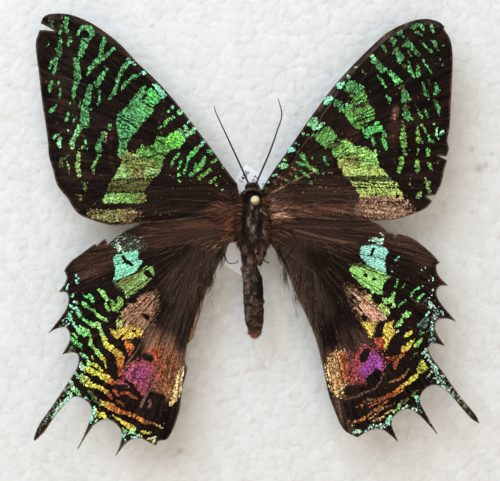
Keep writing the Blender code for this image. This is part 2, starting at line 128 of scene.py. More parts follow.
def closed_rings(rings, ends):
    """Quads between rings that follow one another, and a fan of triangles to each end point."""
    count, sides = rings.shape[:2]
    points = np.vstack([rings.reshape(-1, 3), ends])
    ring = np.arange(count - 1)[:, None] * sides
    side = np.arange(sides)
    after = (side + 1) % sides
    quads = np.stack([ring + side, ring + after, ring + sides + after, ring + sides + side], 2)
    last_ring = (count - 1) * sides
    first = np.stack([after, side, np.full(sides, len(points) - 2)], 1)
    last = np.stack([last_ring + side, last_ring + after, np.full(sides, len(points) - 1)], 1)
    return points, [quads.reshape(-1, 4), np.vstack([first, last])]


def tube(path, radii, sides):
    """Rings square to the path, turned about it so that they don't twist."""
    along = unit(np.gradient(path, axis=0))
    across = unit(np.cross(along, (0.0, 0.3, 1.0)))
    over = np.cross(across, along)
    angle = -2 * np.pi * np.arange(sides) / sides
    spokes = (across[:, None] * np.cos(angle)[None, :, None]
              + over[:, None] * np.sin(angle)[None, :, None])
    return closed_rings(path[:, None] + spokes * radii[:, None, None], path[[0, -1]])


def joined(parts):
    """Several (points, faces) pairs as one."""
    points, faces, shift = [], [], 0
    for part_points, part_faces in parts:
        points.append(part_points)
        faces += [face + shift for face in part_faces]
        shift += len(part_points)
    return np.vstack(points), faces

# %% [markdown]
# ## Shader groups
#
# A wing's patches, its bare ground, the body's fur and the foam all need the same effect: a mosaic
# of small cells, each a little lighter or darker.  It is one node group, placed in each material
# with its own cell size.  The groups put out only masks and normals, and each shader stays in its
# material.

# %% Node helpers
def node_group(name, inputs, outputs):
    """An empty shader group with named sockets, and its two end nodes."""
    tree = bpy.data.node_groups.new(name, "ShaderNodeTree")
    for way, sockets in (("INPUT", inputs), ("OUTPUT", outputs)):
        for socket, kind in sockets.items():
            tree.interface.new_socket(socket, in_out=way, socket_type=f"NodeSocket{kind}")
    return tree, tree.nodes.new("NodeGroupInput"), tree.nodes.new("NodeGroupOutput")


def add_node(tree, kind, values=None, **settings):
    """A node with its settings, and with values or links put in its input sockets."""
    node = tree.nodes.new(f"ShaderNode{kind}")
    for name, value in settings.items():
        setattr(node, name, value)
    for socket, value in (values or {}).items():
        if isinstance(value, bpy.types.NodeSocket):
            tree.links.new(value, node.inputs[socket])
        else:
            node.inputs[socket].default_value = value
    return node


def maths(tree, operation, *values, clamp=False):
    """One step of arithmetic."""
    return add_node(tree, "Math", dict(enumerate(values)), operation=operation,
                    use_clamp=clamp).outputs[0]


def remap(tree, value, from_low, from_high, to_low=0.0, to_high=1.0):
    """Carry a value from one range to another, held inside it."""
    return add_node(tree, "MapRange", {0: value, 1: from_low, 2: from_high, 3: to_low,
                                       4: to_high}).outputs[0]


def blend_colours(tree, amount, low, high, kind="MIX"):
    """Mix two colours; plain ones are given as screen colours from 0 to 255."""
    values = {0: amount}
    for socket, colour in ((6, low), (7, high)):
        plain = isinstance(colour, tuple)
        values[socket] = (*to_linear(colour), 1.0) if plain else colour
    return add_node(tree, "Mix", values, data_type="RGBA", blend_type=kind).outputs[2]

# %% Paint, places, noise and bumps
def attribute(tree, name, output="Fac"):
    """A piece's own paint."""
    return add_node(tree, "Attribute", attribute_name=name).outputs[output]


def scaled(tree, vector, amount):
    """A place or a colour times a number."""
    return add_node(tree, "VectorMath", {0: vector, 3: amount}, operation="SCALE").outputs[0]


def stretched(tree, vector, amounts):
    """A place with each of its coordinates times its own number."""
    return add_node(tree, "VectorMath", {0: vector, 1: amounts}, operation="MULTIPLY").outputs[0]


def object_places(tree, scale):
    """Object coordinates, scaled so that a millimetre is that many units."""
    return scaled(tree, add_node(tree, "TexCoord").outputs["Object"], scale / MM)


def noise(tree, places, detail=2.0, **more):
    """Soft blots about one unit across, with finer ones in them."""
    return add_node(tree, "TexNoise", {"Vector": places, "Scale": 1.0, "Detail": detail,
                                       **more}).outputs[0]


def cells_round_points(tree, places, feature="F1"):
    """Cells about one unit across, round scattered points."""
    return add_node(tree, "TexVoronoi", {"Vector": places, "Scale": 1.0}, feature=feature)


def bumped(tree, height, strength, depth, **under):
    """A normal tilted by a height of up to the depth in millimetres, over any coarser normal."""
    return add_node(tree, "Bump", {"Height": height, "Strength": strength,
                                   "Distance": depth * MM, **under}).outputs[0]

# %% A material and its links
def new_material(name, **constants):
    """A material with one Principled shader whose constant sockets are set."""
    material = bpy.data.materials.new(name)
    material.use_nodes = True
    shader = material.node_tree.nodes["Principled BSDF"]
    for socket, value in constants.items():
        shader.inputs[socket.replace("_", " ")].default_value = value
    return material, material.node_tree, shader


def link_to(tree, node, **sources):
    """Values worked out by other nodes, each linked to the socket it is named after."""
    for socket, source in sources.items():
        tree.links.new(source, node.inputs[socket.replace("_", " ")])

# %% The mosaic group: small cells, each with its own shade
def build_mosaic_group():
    """Cells round scattered points: two random numbers, a dark seam, and a bump from both."""
    tree, given, made = node_group(
        "scale mosaic", {"Vector": "Vector", "Seam": "Float", "Bump": "Float"},
        {"Random": "Float", "Second": "Float", "Seam": "Float", "Normal": "Vector"})
    cells = cells_round_points(tree, given.outputs["Vector"])
    seams = cells_round_points(tree, given.outputs["Vector"], "DISTANCE_TO_EDGE")
    parted = add_node(tree, "SeparateColor", {0: cells.outputs["Color"]})
    random = parted.outputs[0]
    width = maths(tree, "MAXIMUM", given.outputs["Seam"], 0.001)
    seam = maths(tree, "DIVIDE", seams.outputs["Distance"], width, clamp=True)
    normal = bumped(tree, maths(tree, "ADD", seam, random), given.outputs["Bump"], 0.05)
    link_to(tree, made, Random=random, Second=parted.outputs[1], Seam=seam, Normal=normal)
    return tree


MOSAIC = build_mosaic_group()


def mosaic(tree, places, seam, bump):
    """The mosaic group in a material."""
    node = tree.nodes.new("ShaderNodeGroup")
    node.node_tree = MOSAIC
    link_to(tree, node, Vector=places)
    node.inputs["Seam"].default_value = seam
    node.inputs["Bump"].default_value = bump
    return node


print("node group:", MOSAIC.name)

# %% [markdown]
# ## Where the scales shine
#
# The bright patches are scales, so they have no edge of their own: the wing's surface goes on
# below them.  They could be cut out as separate faces, but then every one would need a seam.  Here
# each patch is drawn as a short line with a width at each of its places, or as a small outline.
# Later each point of the wing is given its depth inside the nearest patch, and the shader turns
# that depth into a ragged edge.
#
# A line is written as its places and then its half widths, "x,y x,y / w w", in millimetres.  A name
# that ends in ~ is a patch that thins out slowly, "glow" takes the hue of its part of the wing, and
# "bare" takes the scales away.

# %% The left forewing's patches
LEFT_FOREWING_LINES = {
    "glow": """-39.5,41.5 -39.65,40.3 /.25; -37.75,40.65 -38.1,39.1 /.3; -36.75,41.9 -36.9,41.2
        -36.75,40 -36.65,39 /.35 .5 .35 .2; -38,38.3 -38,37 -38.3,36 -38.1,35.2 /.2 .3 .6; -36,38.1
        -36.5,37 /.35; -40.6,36.5 /.2; -40.2,37 /.2; -34.4,39.5 -33.3,40.2 -32,39.8 -31.7,39
        -32.3,38 /.35 .45 .55 .5 .35; -34.8,38.7 -34.2,39.4 /.2; -33.2,37.4 -33.6,36.4 -34,35
        -34.4,34.3 /.8 .65 .55 .3; -35.4,34.2 -34.9,33.5 -34.7,32 -34.6,30.3 /.2 .5 .6 .65;
        -34.9,29.5 -35.4,28 -35.5,26.2 /.5 .35 .25; -38.8,34.2 -39,32.7 -39.2,31.4 /.3 .3 .35;
        -39.7,33.6 -40.1,32.3 /.3 .25; -39.6,29.6 -40,28.8 -40.1,27.9 /.3; -38.5,29.9 -38.35,29
        /.15; -38,28.1 -38,27.3 -38.4,26.5 /.25 .3 .15; -38.5,25.5 -39.4,24.3 -40,23.8 /.15 .35;
        -36.15,25.5 /.15; -36.6,23.4 -36.8,22.2 /.3 .35; -35,22.6 -35.4,22 /.25 .3; -29.4,37.9
        -29.9,36.5 -30,35.3 -30.2,34.4 -30.8,33.6 -31.6,33.3 /.5 .35 .4 .5 .6 .35; -31.2,32.6
        -32.2,32.3 -32.7,31.1 /.2 .5 .2; -29.8,34.2 -28.8,34.9 -28.2,35.7 -27.7,36.1 /.4 .4 .3 .4;
        -28.9,32.1 -29.7,31.2 -30.3,30.1 -30.9,29.2 /.2 .4 .55 .6; -32.2,28.8 -32.6,27.3 -32.9,25.6
        /.45 .65 .7; -30.4,27.9 -30.5,26.4 -30.3,25.9 -30.8,25.2 /.25 .2 .2 .15; -33.2,24.8
        -33.4,23.4 -33.2,21.5 /.75 .85; -34.1,26 -34.3,25 /.2; -32,24.4 /.2; -25,33.3 -26,32
        -26.8,30.3 -27,29 -27.5,27.8 -28.5,26.3 /.4 .5 .35 .3 .45 .25; -22.6,31 -23.9,30.7
        -24.5,30.1 -25.6,29.2 -26.1,28.2 /.25 .4 .25 .4 .15; -13.7,21 -13.6,20.2 /.35; -12.1,20.3
        -13,19.8 -13.4,19.3 /.5 .5 .35; -14.95,15.8 -15.2,15.4 -15.8,14.7 -16.5,13.6 /.15 .2 .25;
        -14.65,14.1 -15.1,12.9 /.3 .25; -11.4,16.8 -12.3,15.8 -13.1,15.1 -13.4,14 -13.7,12.9
        -14,11.9 /.35 .45 .3 .2; -9.9,15 -10.3,14.3 -10.9,13.2 -12,12.3 -12.7,11.5 /.2 .45 .45 .4
        .35; -11.6,13.7 -12,13 /.25; -9,12.6 -9.9,11.9 -11,10.9 /.35 .25 .4; -7.6,14.7 -8.6,14.1
        /.25; -6.5,13.15 /.25; -7.9,11.05 -8.9,10.2 /.25 .3; -7.75,9.65 /.2; -6.5,8.7 /.2;
        -6.85,11.35 /.2; -15.1,11.6 /.35; -16.75,11.5 /.15; -14.9,10.5 /.3; -17.1,23.9 /.3;
        -15,23.7 -14.5,23.9 /.45; -16,22.8 -17,22.4 -17.6,21.8 -17.7,21.1 /.3 .25 .3 .2; -18.4,21.1
        /.15; -18.85,20.65 /.25; -18.4,19.7 /.2; -34.3,20.8 -34.75,19.8 -35.3,18.8 -35.9,17.8
        -35.6,17 /.6 .45 .35 .5 .4; -38.5,19.6 -39.5,18.7 /.3 .25; -38.1,18.7 -38.3,17.7 -38,16.8
        /.35 .35 .15; -36.6,20.3 /.2; -33.1,18.4 -33,17.7 -33.6,17 -34.3,16.55 /.2 .2 .3 .2;
        -32.8,16.6 /.2; -28.4,21.3 -28.6,20.5 /.3; -29.7,19.8 -29.9,18.6 -30.5,17.6 -30.6,16.6 /.35
        .45 .6 .7; -30.5,15.3 -31,14.5 -31.7,13.2 -31.7,11.8 /.35 .25 .4 .2; -34.5,15.6 -34.6,14.3
        -34.7,13.2 -34.3,11.4 /.45 .4 .45 .35; -36.7,14 -36.4,13.2 -36.3,11.9 /.2 .2 .15""",
    "sea": """-24.9,34.1 -23.7,33.1 /.25; -21.8,31.5 /.45; -13.1,21.9 /.35; -10.15,18.1 -10.9,17.2
        /.3; -16.3,24.8 /.35""",
    "teal": "-9.3,16.3 -8.6,15.9 /.3",
    "olive": """-36.4,15.4 -37.7,14.6 -38,13.2 /.3 .35 .4; -33.5,10.2 -33.2,8.6 /.4; -34.2,7.4
        -34.15,6.5 /.3; -31,6.3 -31.7,5.7 /.15""",
    "rose": "-29.1,20 -29.25,18.2 /.2",
    "straw": "-33.7,17 /.3",
    "bare": """-21.5,27 /.35; -21.9,26.5 /.3; -22,25.7 -20,24.6 /.18; -26.2,16.9 -25.2,16.4 /.15;
        -26.7,22.9 -25,22 -23.2,20.8 /.14; -26.8,22 -24.6,20.9 /.1; -19.2,18.4 -18,17.6 /.16;
        -28.6,8.25 -21.4,8.25 /.1; -25,15.1 -20.4,15 /.07; -23.4,12.9 -22.9,12.3 /.14""",
}
LEFT_FOREWING_PATCHES = {
    "sea": "-20.1,29.2 -19.1,29.3 -17.3,27 -17.5,26.7 -18.15,26.5",
    "glow": """-21.5,29.1 -22.2,28.6 -23,27.9 -23.9,26.6 -24.5,26.1 -24.9,25.1 -26.9,23.4 -27.1,22
        -27.1,20.2 -26.5,18.9 -26.55,17.7 -26.8,16 -27,15.3 -26.05,14.6 -26.5,13.2 -27.3,11.9
        -28,10.6 -24,10.9 -20,11.1 -19.4,11.3 -18.7,12.3 -18.3,13.15 -17.9,14.7 -17.6,15.25
        -16.75,16.4 -16.3,16.7 -14.9,16.8 -14.1,17.9 -13.5,18.9 -14.65,20.7 -15.1,20.6 -15.9,20
        -17,19.45 -17.6,18.9 -18.6,19 -19.2,19.3 -19.4,18.3 -20,17.35 -20.7,17.3 -21.4,16.9
        -22.3,17.6 -22.6,16.8 -23.1,16.4 -23.4,15.6 -24.9,15.95 -25.2,16.9 -25,17.8 -24.6,18.3
        -24.2,19.2 -23.1,20.15 -22.2,21.6 -21.1,22.7 -20,24 -20,24.9 -18.35,26.3 -19.9,28.1
        -20.5,28.6 -21.1,28.1 -21.7,27.9 -21.4,28.5; -29.2,8 -29.9,6.6 -29.6,6.1 -22,6.1 -21.3,6.6
        -21.5,7.9 -22,8.1""",
    "reed": "-32.4,4.9 -32.8,4 -32,3.2 -30,2.7 -27,2.4 -24,2.6 -23,3.6 -23.4,4.8",
    "dusk": "-28.4,10.5 -21,10.8 -20,10.8 -20.6,9.8 -21.8,8.5 -28.9,8.2",
    "blush~": "-25.8,4.7 -23.4,4.7 -22.4,3.6 -24,2.6 -25.6,2.4",
}

# %% The right forewing's patches
RIGHT_FOREWING_LINES = {
    "glow": """30.5,40.2 31,40.5 /.5; 31.5,40.9 32.2,40.5 32.5,39.8 /.35 .35 .15; 34.1,40.5
        34.2,39.6 /.3; 34.6,39.3 /.15; 31.05,39.35 31.75,39 32.3,38.5 /.3 .35 .15; 27.7,38.95
        28.1,39.3 /.4; 28.7,38.4 /.35; 29.2,37.9 /.2; 26.4,37.9 27,37.4 26.7,36.7 /.5 .4 .3;
        24.7,36.7 25,36 25.3,35.35 /.3 .35 .15; 27.5,35.1 28.1,34.4 27.8,33.7 28.5,33.9 /.6 .75 .5
        .3; 28.4,36.6 29.2,36.8 29.8,37 30.2,36.4 30.8,35.85 31.5,35 31.8,34.7 /.2 .5 .5 .4 .35 .4
        .3; 29.5,35.8 29.8,35.1 30,34.5 /.15 .25 .2; 32,37.45 32.6,36.8 33.3,36.1 34,35.55 /.15 .2
        .15 .3; 34.1,37.6 34.8,37.25 35,36.4 35.4,35.7 /.2 .35 .25 .2; 36.2,36.8 /.15; 29.65,33.4
        /.3; 29.8,32.75 29.9,32.05 30.35,31.2 30.9,30.5 /.25 .45 .25 .15; 31.3,33 31.5,32.3
        31.5,31.5 31.6,30.9 /.15 .3 .5; 32.45,33.9 32.9,33 33.6,32.2 34.1,31.35 /.25 .15 .15 .25;
        35.8,34.1 /.15; 22.8,34 23.3,33.45 24,32.6 24.7,31.9 25.3,32.1 /.5 .6 .65 .5 .25;
        25.85,31.5 26.7,30.8 27.5,29.8 28.1,29.8 27.3,29.3 /.5 .5 .6 .3 .2; 28.8,27.3 29.1,26.4
        29.9,26.4 28.5,25.95 /.7 .8 .3 .4; 23.6,30.8 24.2,30.2 24.7,29.5 25.2,28.7 /.15 .25 .2;
        25.3,26.9 25.9,26.2 26,25.6 /.2 .4 .2; 28.9,24.2 29.2,23.35 29.5,22.65 30.5,22.4 /.5 .7 .6
        .2; 28.4,22 /.2; 31,25.2 31.5,24.3 31.7,23.55 32.2,22.8 /.1 .15 .15 .3; 32.7,24.5
        33.15,23.65 33.4,22.8 /.2 .3 .2; 32.45,29.5 32.7,28.1 33.15,27.15 33.6,26.3 /.2 .35 .4 .2;
        34.8,29.4 35,28.7 35,27.85 35.7,28 34.8,27.4 /.15 .35 .4 .15 .35; 34.6,25.9 35,25.2
        35.5,24.5 35.5,23.7 /.3 .25 .4 .25; 34.6,21.5 /.2; 11.1,19.4 /.25; 10,19.4 /.3; 9,15.4
        9.7,14.3 10.1,13.7 /.55 .2; 7.9,14.2 8.6,13.9 9.5,13.6 10.2,13.1 10.9,13 11.4,12.6 12,12.1
        /.2 .3 .25 .25 .4; 11.7,13.3 /.1; 12.5,15.5 /.15; 13.3,15.2 13.5,14.5 13.9,13.5 /.2 .25 .3;
        11,15 11.1,14.5 /.1; 13.1,12 /.25; 8.6,12.6 9.2,12.1 9.8,11.6 10.3,11.1 /.15 .25 .2;
        7.7,11.5 8,10.9 8.4,10.5 /.25 .25 .1; 5.5,10.9 5.9,10.5 /.15; 6.8,10.3 7.2,10 /.2;
        11.6,10.6 /.1; 22.3,19.3 22.7,18.7 22.9,17.7 22.9,17.3 /.25 .3 .3 .15; 24.9,20 25,19.2
        24.7,18.5 24.9,17.8 25.3,17.1 25.4,16.6 /.3 .4 .5 .45 .4 .25; 28.6,20.3 28.5,19 28.6,18
        28.8,17.3 /.45 .55 .65 .5; 28.8,16.2 29.1,15.6 /.35 .3; 28.2,14.7 28.3,13.8 28,12.9
        27.7,12.2 /.45 .5 .45 .35; 31.5,21.3 31.4,20.2 31.4,19.3 31.6,18.4 32.2,17.8 /.2 .25 .45 .5
        .2; 31.5,16.6 31.5,15.5 /.2; 31.3,14.3 31.3,13.3 31.4,12.6 /.35 .5 .6; 32.3,21.3 32.7,20.4
        33.3,19.4 33.9,18.3 34.5,17.9 /.3 .2 .15 .35 .2; 33.4,16.3 33.4,15.5 /.45 .35; 33.6,13.8
        33.9,13 34.1,12.7 /.3 .35 .15; 32.9,10.8 33.4,10.1 33.4,9.4 33.7,8.4 /.2 .5 .3 .45;
        32.1,8.3 31.8,7.8 31.3,7.2 /.35 .55 .3; 36.3,20 /.15""",
    "mint": """35.2,20.7 35,19.8 35,19 35.4,18.6 /.25 .25 .15; 19.5,32.5 /.25; 17.9,30.6 /.35;
        9.15,19.6 /.35; 7.6,17.8 7.9,17.8 /.15; 8.3,17.5 /.1; 5.5,14.5 5.8,14.5 /.2; 1.4,9 /.2;
        17.6,25.3 /.3; 22.5,34.6 /.4""",
    "sea": "35.9,19.6 36.2,19.8 /.25; 3.3,11.5 4,11.6 /.2 .15; 2.4,10.2 /.2",
    "olive": """14.4,17.4 15.6,17.2 16.4,18.4 /.5 .5 .3; 20.4,32.1 21.4,31.1 /.15; 27.2,36
        26.7,35.4 /.5 .3; 28.8,32.75 /.4; 36.3,33 /.35; 28.5,29 28.1,28.4 28.8,28.3 /.5 .4;
        29.2,24.75 /.5; 33.3,30.1 33.7,29.7 33.9,29 /.2 .3 .2; 7.9,16.1 /.2; 28.6,21.2 /.4;
        35.4,14.2 /.4; 10.7,10.1 /.4; 15.9,18.3 16.5,17.8 /.3""",
    "blush": """1.6,9.2 2.4,8.8 /.15; 3.2,8.7 3.6,8.2 /.2; 5.2,11.2 5.8,10.6 6.2,10.2 /.12;
        6.4,10.5 7.2,10 /.2; 3.5,10.4 3.8,9.8 /.2; 5,9.9 5.4,9.5 /.15; 2.2,8 2.6,7.4 /.2; 12.6,9.3
        /.2; 10.2,8.6 /.18; 9.2,8.3 /.15; 15.3,8.4 /.2; 13.6,9.2 /.12; 16.8,19.6 /.12; 4.3,11.4
        4.9,11 /.22; 6.9,13 7.5,12.7 7.9,12.4 /.25 .25 .1; 6.6,12 7,11.7 /.2; 30.1,10.8 /.2; 30,10
        30,9.5 /.2; 28.2,11.2 /.1; 34.7,9.5 /.15; 31.5,5.7 /.15; 14,12 14.7,12 /.12; 27,24.2
        27,23.7 /.2""",
    "rose": "18.5,18.4 /.15; 27,23.6 27,22.6 26.7,21.9 /.15 .2 .1",
    "bare": """23.3,7.7 /.3; 27.4,7.5 27.7,7.5 /.28; 18,25.4 20.6,26.2 /.13; 17.8,28 19.4,27.1 /.1;
        15.6,28.1 17.4,28 /.12; 26.6,38.1 27.1,37 /.1; 19,22.9 22.8,24.4 /.12; 19.4,21.9 23.1,23.3
        /.13; 20.2,21.2 23.4,22.4 /.13; 17.3,15.4 23.2,16.1 /.08; 19,9.8 27,9.85 /.09; 19,9
        27.5,9.1 /.07; 18.7,24.8 21.9,25.9 /.08""",
}
RIGHT_FOREWING_PATCHES = {
    "pink~": "20.6,6.2 25,6.2 29.6,6.1 29.8,5.2 30.8,4.4 29,3.5 27,3 22.4,3 20.8,4.8",
    "sea": """15.6,29 16,28.4 16.8,28.4 17.4,29.6 17,29.9 16.2,29.5; 13.9,27 14.6,27 15,26.5
        14.6,25.9 14,25.2 13.2,25.4 13.2,25.9; 6.2,16.2 6.3,16.8 6.9,17 7.6,16.8 7.7,16.3 7,16
        6.3,15.9""",
    "mint": """10.1,21.9 9.9,21.3 10.6,21 11.1,20.3 11.5,20.4 12,21.6 12.1,22.1 11.7,22.9
        10.9,22.7; 11.8,20.5 12.1,20.3 13,21.1 13.4,21.5 13.1,22 12.5,21.8 12,21; 4.3,13.2 4.6,13.6
        5.2,13.9 6.2,13.7 6.3,13.2 5.8,12.8 5,12.8""",
    "glow": """15,25.2 15.1,25.9 15.7,26.3 16.7,25.9 16.8,25.4 17,25 16.9,24.5 16.3,23.9 16.1,24.3
        15.9,24.8 15.2,24.9; 18.3,30.2 19.3,29.8 19.6,29.4 20.4,29.1 21,28.7 21.1,28.1 21.5,27
        21.6,26.3 21.9,25 22.4,24.9 22.8,24.4 23.1,23.4 23.2,22.9 22.2,21.8 20.7,20.7 20.1,20.4
        19.7,20.6 18.8,21.1 18.1,22 17.4,23.1 16.7,24.1 17.4,24.8 18.3,25.5 18.7,25.9 18.6,26.6
        17.9,27.6 16.9,28.1 17.4,28.5 17.6,29.3 18,29.9; 11.3,19.1 11.9,19.6 13.2,20.9 13.6,21
        14.4,20.9 14.9,20.3 15.2,19.8 15.6,19.3 15.8,18.8 15.5,18.4 15,18 14.5,17.4 14,16.8
        13.5,16.6 13.1,17.1 12.6,17.6 12.1,18 11.6,18.5; 14.7,16.3 15,16.4 15.2,17.2 15.6,17.4
        16.4,18 16.9,18.5 17.5,18.6 18.2,18 18.7,17.6 19.2,17.2 20,17.1 20.8,17 21.6,17 22,16.4
        22.7,16.2 23.3,16.5 23.5,15.5 23.3,15 23.8,14.2 24,13.4 24.4,12.9 25,12.4 25.4,11.8
        25.7,11.4 21,11.3 17,11.3 16.9,11.9 16.8,12.4 16.6,12.9 16,13 15.9,13.7 16,14.2 15.7,14.8
        15.2,15.1 14.9,15.6""",
    "green": """20.8,20.6 20.7,19.9 21,19.1 21.2,18.8 21.6,18.7 22.2,19.3 23,19.7 23.2,19.9 24,20
        24.6,20.3 24.8,20.8 24.3,21.5 23.9,22 23.4,22 22.2,21 21.5,20.7""",
    "olive": """17.3,11.2 26.2,11.2 26.9,10.4 18,10.4; 18.2,24.3 20,25.3 21.8,26.4 22,25.2
        20.3,24.4 18.6,23.7""",
    "lime": """18.5,10.35 27,10.35 27.6,9.7 27.6,9.2 18.9,9.3; 19.3,9 27.6,9 28.4,8.3 28.6,7.7
        20.2,7.7""",
    "straw": "20.2,7.8 28.6,7.75 28.8,7.1 20,7.2",
    "pink": "19.7,7.3 28.8,7.2 28.9,6.45 24,6.4 20.2,6.5",
}

# %% The left hindwing's patches
LEFT_HINDWING_LINES = {
    "glow": """-30.7,-10.8 -30,-11.2 -29,-12.6 /.2 .45 .35; -29.3,-13.6 -28.7,-14.8 /.25 .3;
        -32.4,-11.9 -31.8,-12.9 /.35; -33,-12.2 /.3; -33.6,-11.9 /.15; -33.6,-13.4 -32.8,-14.1
        -32.1,-14.7 /.35 .3 .15; -31.7,-14.7 -31,-15.5 -30.3,-16.2 -29.1,-16.7 /.25 .25 .3;
        -36.2,-13.9 -35.6,-14.3 /.25; -35,-14.4 -34.5,-15.4 -34.2,-16.1 /.35 .5 .25; -35.9,-15.1
        /.2; -33.6,-16.5 -32.8,-17.1 -31.7,-17.6 -30.8,-17.4 -30.5,-18.2 /.35 .3 .5 .5 .3;
        -36.4,-15.5 -36.2,-16.4 -35.6,-17.3 -35,-18.2 -34.2,-19 -33.4,-19.3 /.35 .35 .25 .3 .5 .6;
        -37.7,-16.9 -36.7,-16.1 /.12; -37.5,-17.5 -36.7,-16.8 /.12; -37.1,-18 -36.5,-17.3 /.12;
        -34.2,-17.9 -32.9,-18.8 -32.4,-19.5 /.2 .4; -35.7,-19.3 -35,-20 /.2; -30.3,-18.6 -30,-19.5
        -29.4,-20.3 /.3 .4; -35,-8 -34.7,-8.5 /.18; -35.1,-9 -34.8,-9.4 /.2; -34.3,-8.3 /.1;
        -36.85,-10.4 /.15; -35.7,-11.9 /.3; -35.9,-20.4 -35.2,-21.1 -34.1,-21.7 /.45 .45 .35;
        -35.8,-22.2 /.4; -32.2,-20.55 -32.2,-21.5 -31.5,-22.2 -30.8,-23.1 -30.1,-23.9 -29.45,-24.5
        /.3 .4 .35 .4 .45 .3; -29.7,-20.3 -29.4,-21.3 -28.9,-21.8 -28.2,-22.1 -27.5,-22.7
        -26.8,-23.4 -26.4,-24.2 -26.5,-25.2 -26.4,-26.2 -26.6,-27.3 /.4 .45 .5 .55 .6 .8 .8 .6 .5
        .3; -25.1,-21.3 -24.6,-22 -24.8,-23.4 /.6 .8 .35; -32,-23.7 -31.7,-24.3 /.2; -29.4,-25.2
        -29.2,-25.9 /.15; -33.9,-23.4 -33.2,-23.8 -32.7,-24.6 -32.7,-25.3 /.45 .35 .25 .35;
        -32.1,-25.2 -31.3,-25.5 -30.6,-26 -30,-26.6 /.35 .35 .3 .2; -32.8,-26.2 -31.8,-26.9
        -30.7,-27.15 -29.9,-27.6 -29,-28.1 -27.9,-29 /.55 .55 .4 .6 .7 .4; -34.1,-25.2 -33.8,-25.9
        -33.4,-26.6 /.4 .55 .3; -35.2,-27 -34.6,-27.85 /.3; -34,-27.6 -33.4,-28.4 -32.6,-29.2
        -31.8,-29.5 -30.9,-29.6 -30,-30.1 -29.2,-30.6 -28.6,-31.3 -28.2,-31.9 /.5 .9 .7 .5 .35 .4
        .5 .35 .2; -27.5,-28.8 -26.3,-28.7 -25,-28.8 /.2 .5 .3; -27.5,-30.5 -26.9,-31.2 /.35;
        -26.5,-31 -25.4,-30.8 -24.4,-31.3 -23.3,-31.9 /.28; -27.2,-32.35 -25.8,-33.2 /.25;
        -36.2,-28.6 -35.7,-29.2 /.3; -37.1,-30.2 -36.4,-30.9 -35.9,-31.6 /.5 .35 .25; -35.7,-29.9
        -35,-30.6 -34.2,-31.3 /.4 .45 .3; -32.7,-30.5 -32.1,-31.1 -31.5,-31.9 -31,-32.7 -30.4,-33.3
        /.3 .45 .4 .3 .15; -30.4,-32.3 -29.7,-32.8 /.15; -29.8,-32.9 -28.2,-33.5 -27.1,-34.3
        -25.6,-34.8 -24.4,-35.1 -23.1,-35.7 -22.4,-36.1 -21.6,-36.6 -20.5,-36.7 -19.3,-37.1
        -18.2,-37.7 /.5 .65 .5 .35 .35 .4 .45 .4 .25 .25 .15; -31.3,-34.2 -30.9,-35.1 -29.9,-35.1
        -29.2,-35.7 /.3 .6 .6 .3; -31,-36.2 -31.7,-37.3 /.3; -28,-35.2 -26.9,-36 -25.9,-36.6
        -24.9,-37.3 -23.8,-37.9 /.15 .2 .35 .5; -25.9,-37.9 -25.4,-38.7 -24.3,-38.6 /.35;
        -24.4,-38.5 -23.3,-39.1 -22.4,-39.4 /.25; -22.3,-38.5 -21.8,-38.5 /.3; -21.1,-38.7
        -20.7,-38.7 /.3""",
    "ice": """-35.45,-13.15 -34.6,-13.4 /.22; -36.6,-32 -37.7,-33.1 -38.8,-34.5 -39.7,-35.9 /.5 .6
        .5 .4""",
    "drab": """-38.2,-32.3 -39.8,-34.3 -41.2,-36.3 -42.4,-38.6 /.35 .4 .4 .25; -36.4,-29.6
        -37.6,-31.4 /.3; -37,-13.2 -38,-11.9 /.15; -37.6,-17.4 -39.2,-18.7 /.15; -35.6,-22.4
        -36.8,-23 /.15; -32.4,-35.6 -33.4,-38.2 -34.4,-40.8 /.3 .22 .12; -26.5,-38.6 -26.8,-41 /.3
        .15""",
    "mist": """-32.4,-32.4 -33.3,-31.7 /.15; -31.6,-33.6 -31.7,-35 -32.2,-36.6 /.25 .35 .2;
        -26.8,-38.2 -26.1,-39.2 -25.4,-40.4 /.3 .3 .15; -37.6,-29.6 -38.7,-31.2 -40,-33 /.15;
        -24.2,-39.5 -22.6,-39.4 /.15; -36.6,-9.6 -37,-10.8 /.12; -37.2,-18.4 -36.4,-19.6 /.15""",
    "bone": "-21,-39.9 -19.6,-39.65 -20.2,-40.6 /.3",
    "cream": "-14.4,-25.9 -14.9,-27.7 -15.1,-29.7 -15.7,-31.65 -16.7,-33.05 /.35 .7 .8 .7 .4",
    "mauve": "-20.6,-32.2 -20.9,-33.6 /.3; -18,-22.6 -19.4,-26 -21,-30 -22.4,-33.4 /.22",
    "violet": "-23.1,-26.4 -22.6,-27.6 /.25; -23.9,-27.4 /.15; -21.6,-27 /.15",
    "bare": """-26,-4.3 -25.3,-5.2 -24.2,-5.9 /.25 .4 .35; -21.3,-7.4 -20.7,-8 /.55; -24.4,-13
        -23.6,-12.9 /.45; -21.7,-15.8 -21.2,-16.2 /.45; -24,-18.8 -23.6,-18.8 /.3; -21.6,-23.8
        -20.6,-24.2 /.65; -20.4,-31.2 -18.4,-31.8 /.6 .75; -23.6,-20.2 -22.6,-21 /.3; -25.4,-28.6
        -24.4,-29.2 -22.6,-31.6 /.35 .4; -18.6,-25 -18.9,-26.6 -18.3,-28.6 /.09; -17,-25.6
        -17.4,-28 /.08; -26.1,-19.8 -26.6,-20.5 -27.9,-21 /.3; -26,-18.1 -25.4,-16.6 /.12;
        -22.2,-18.4 -23,-20.2 -25.6,-24.4 /.1""",
}
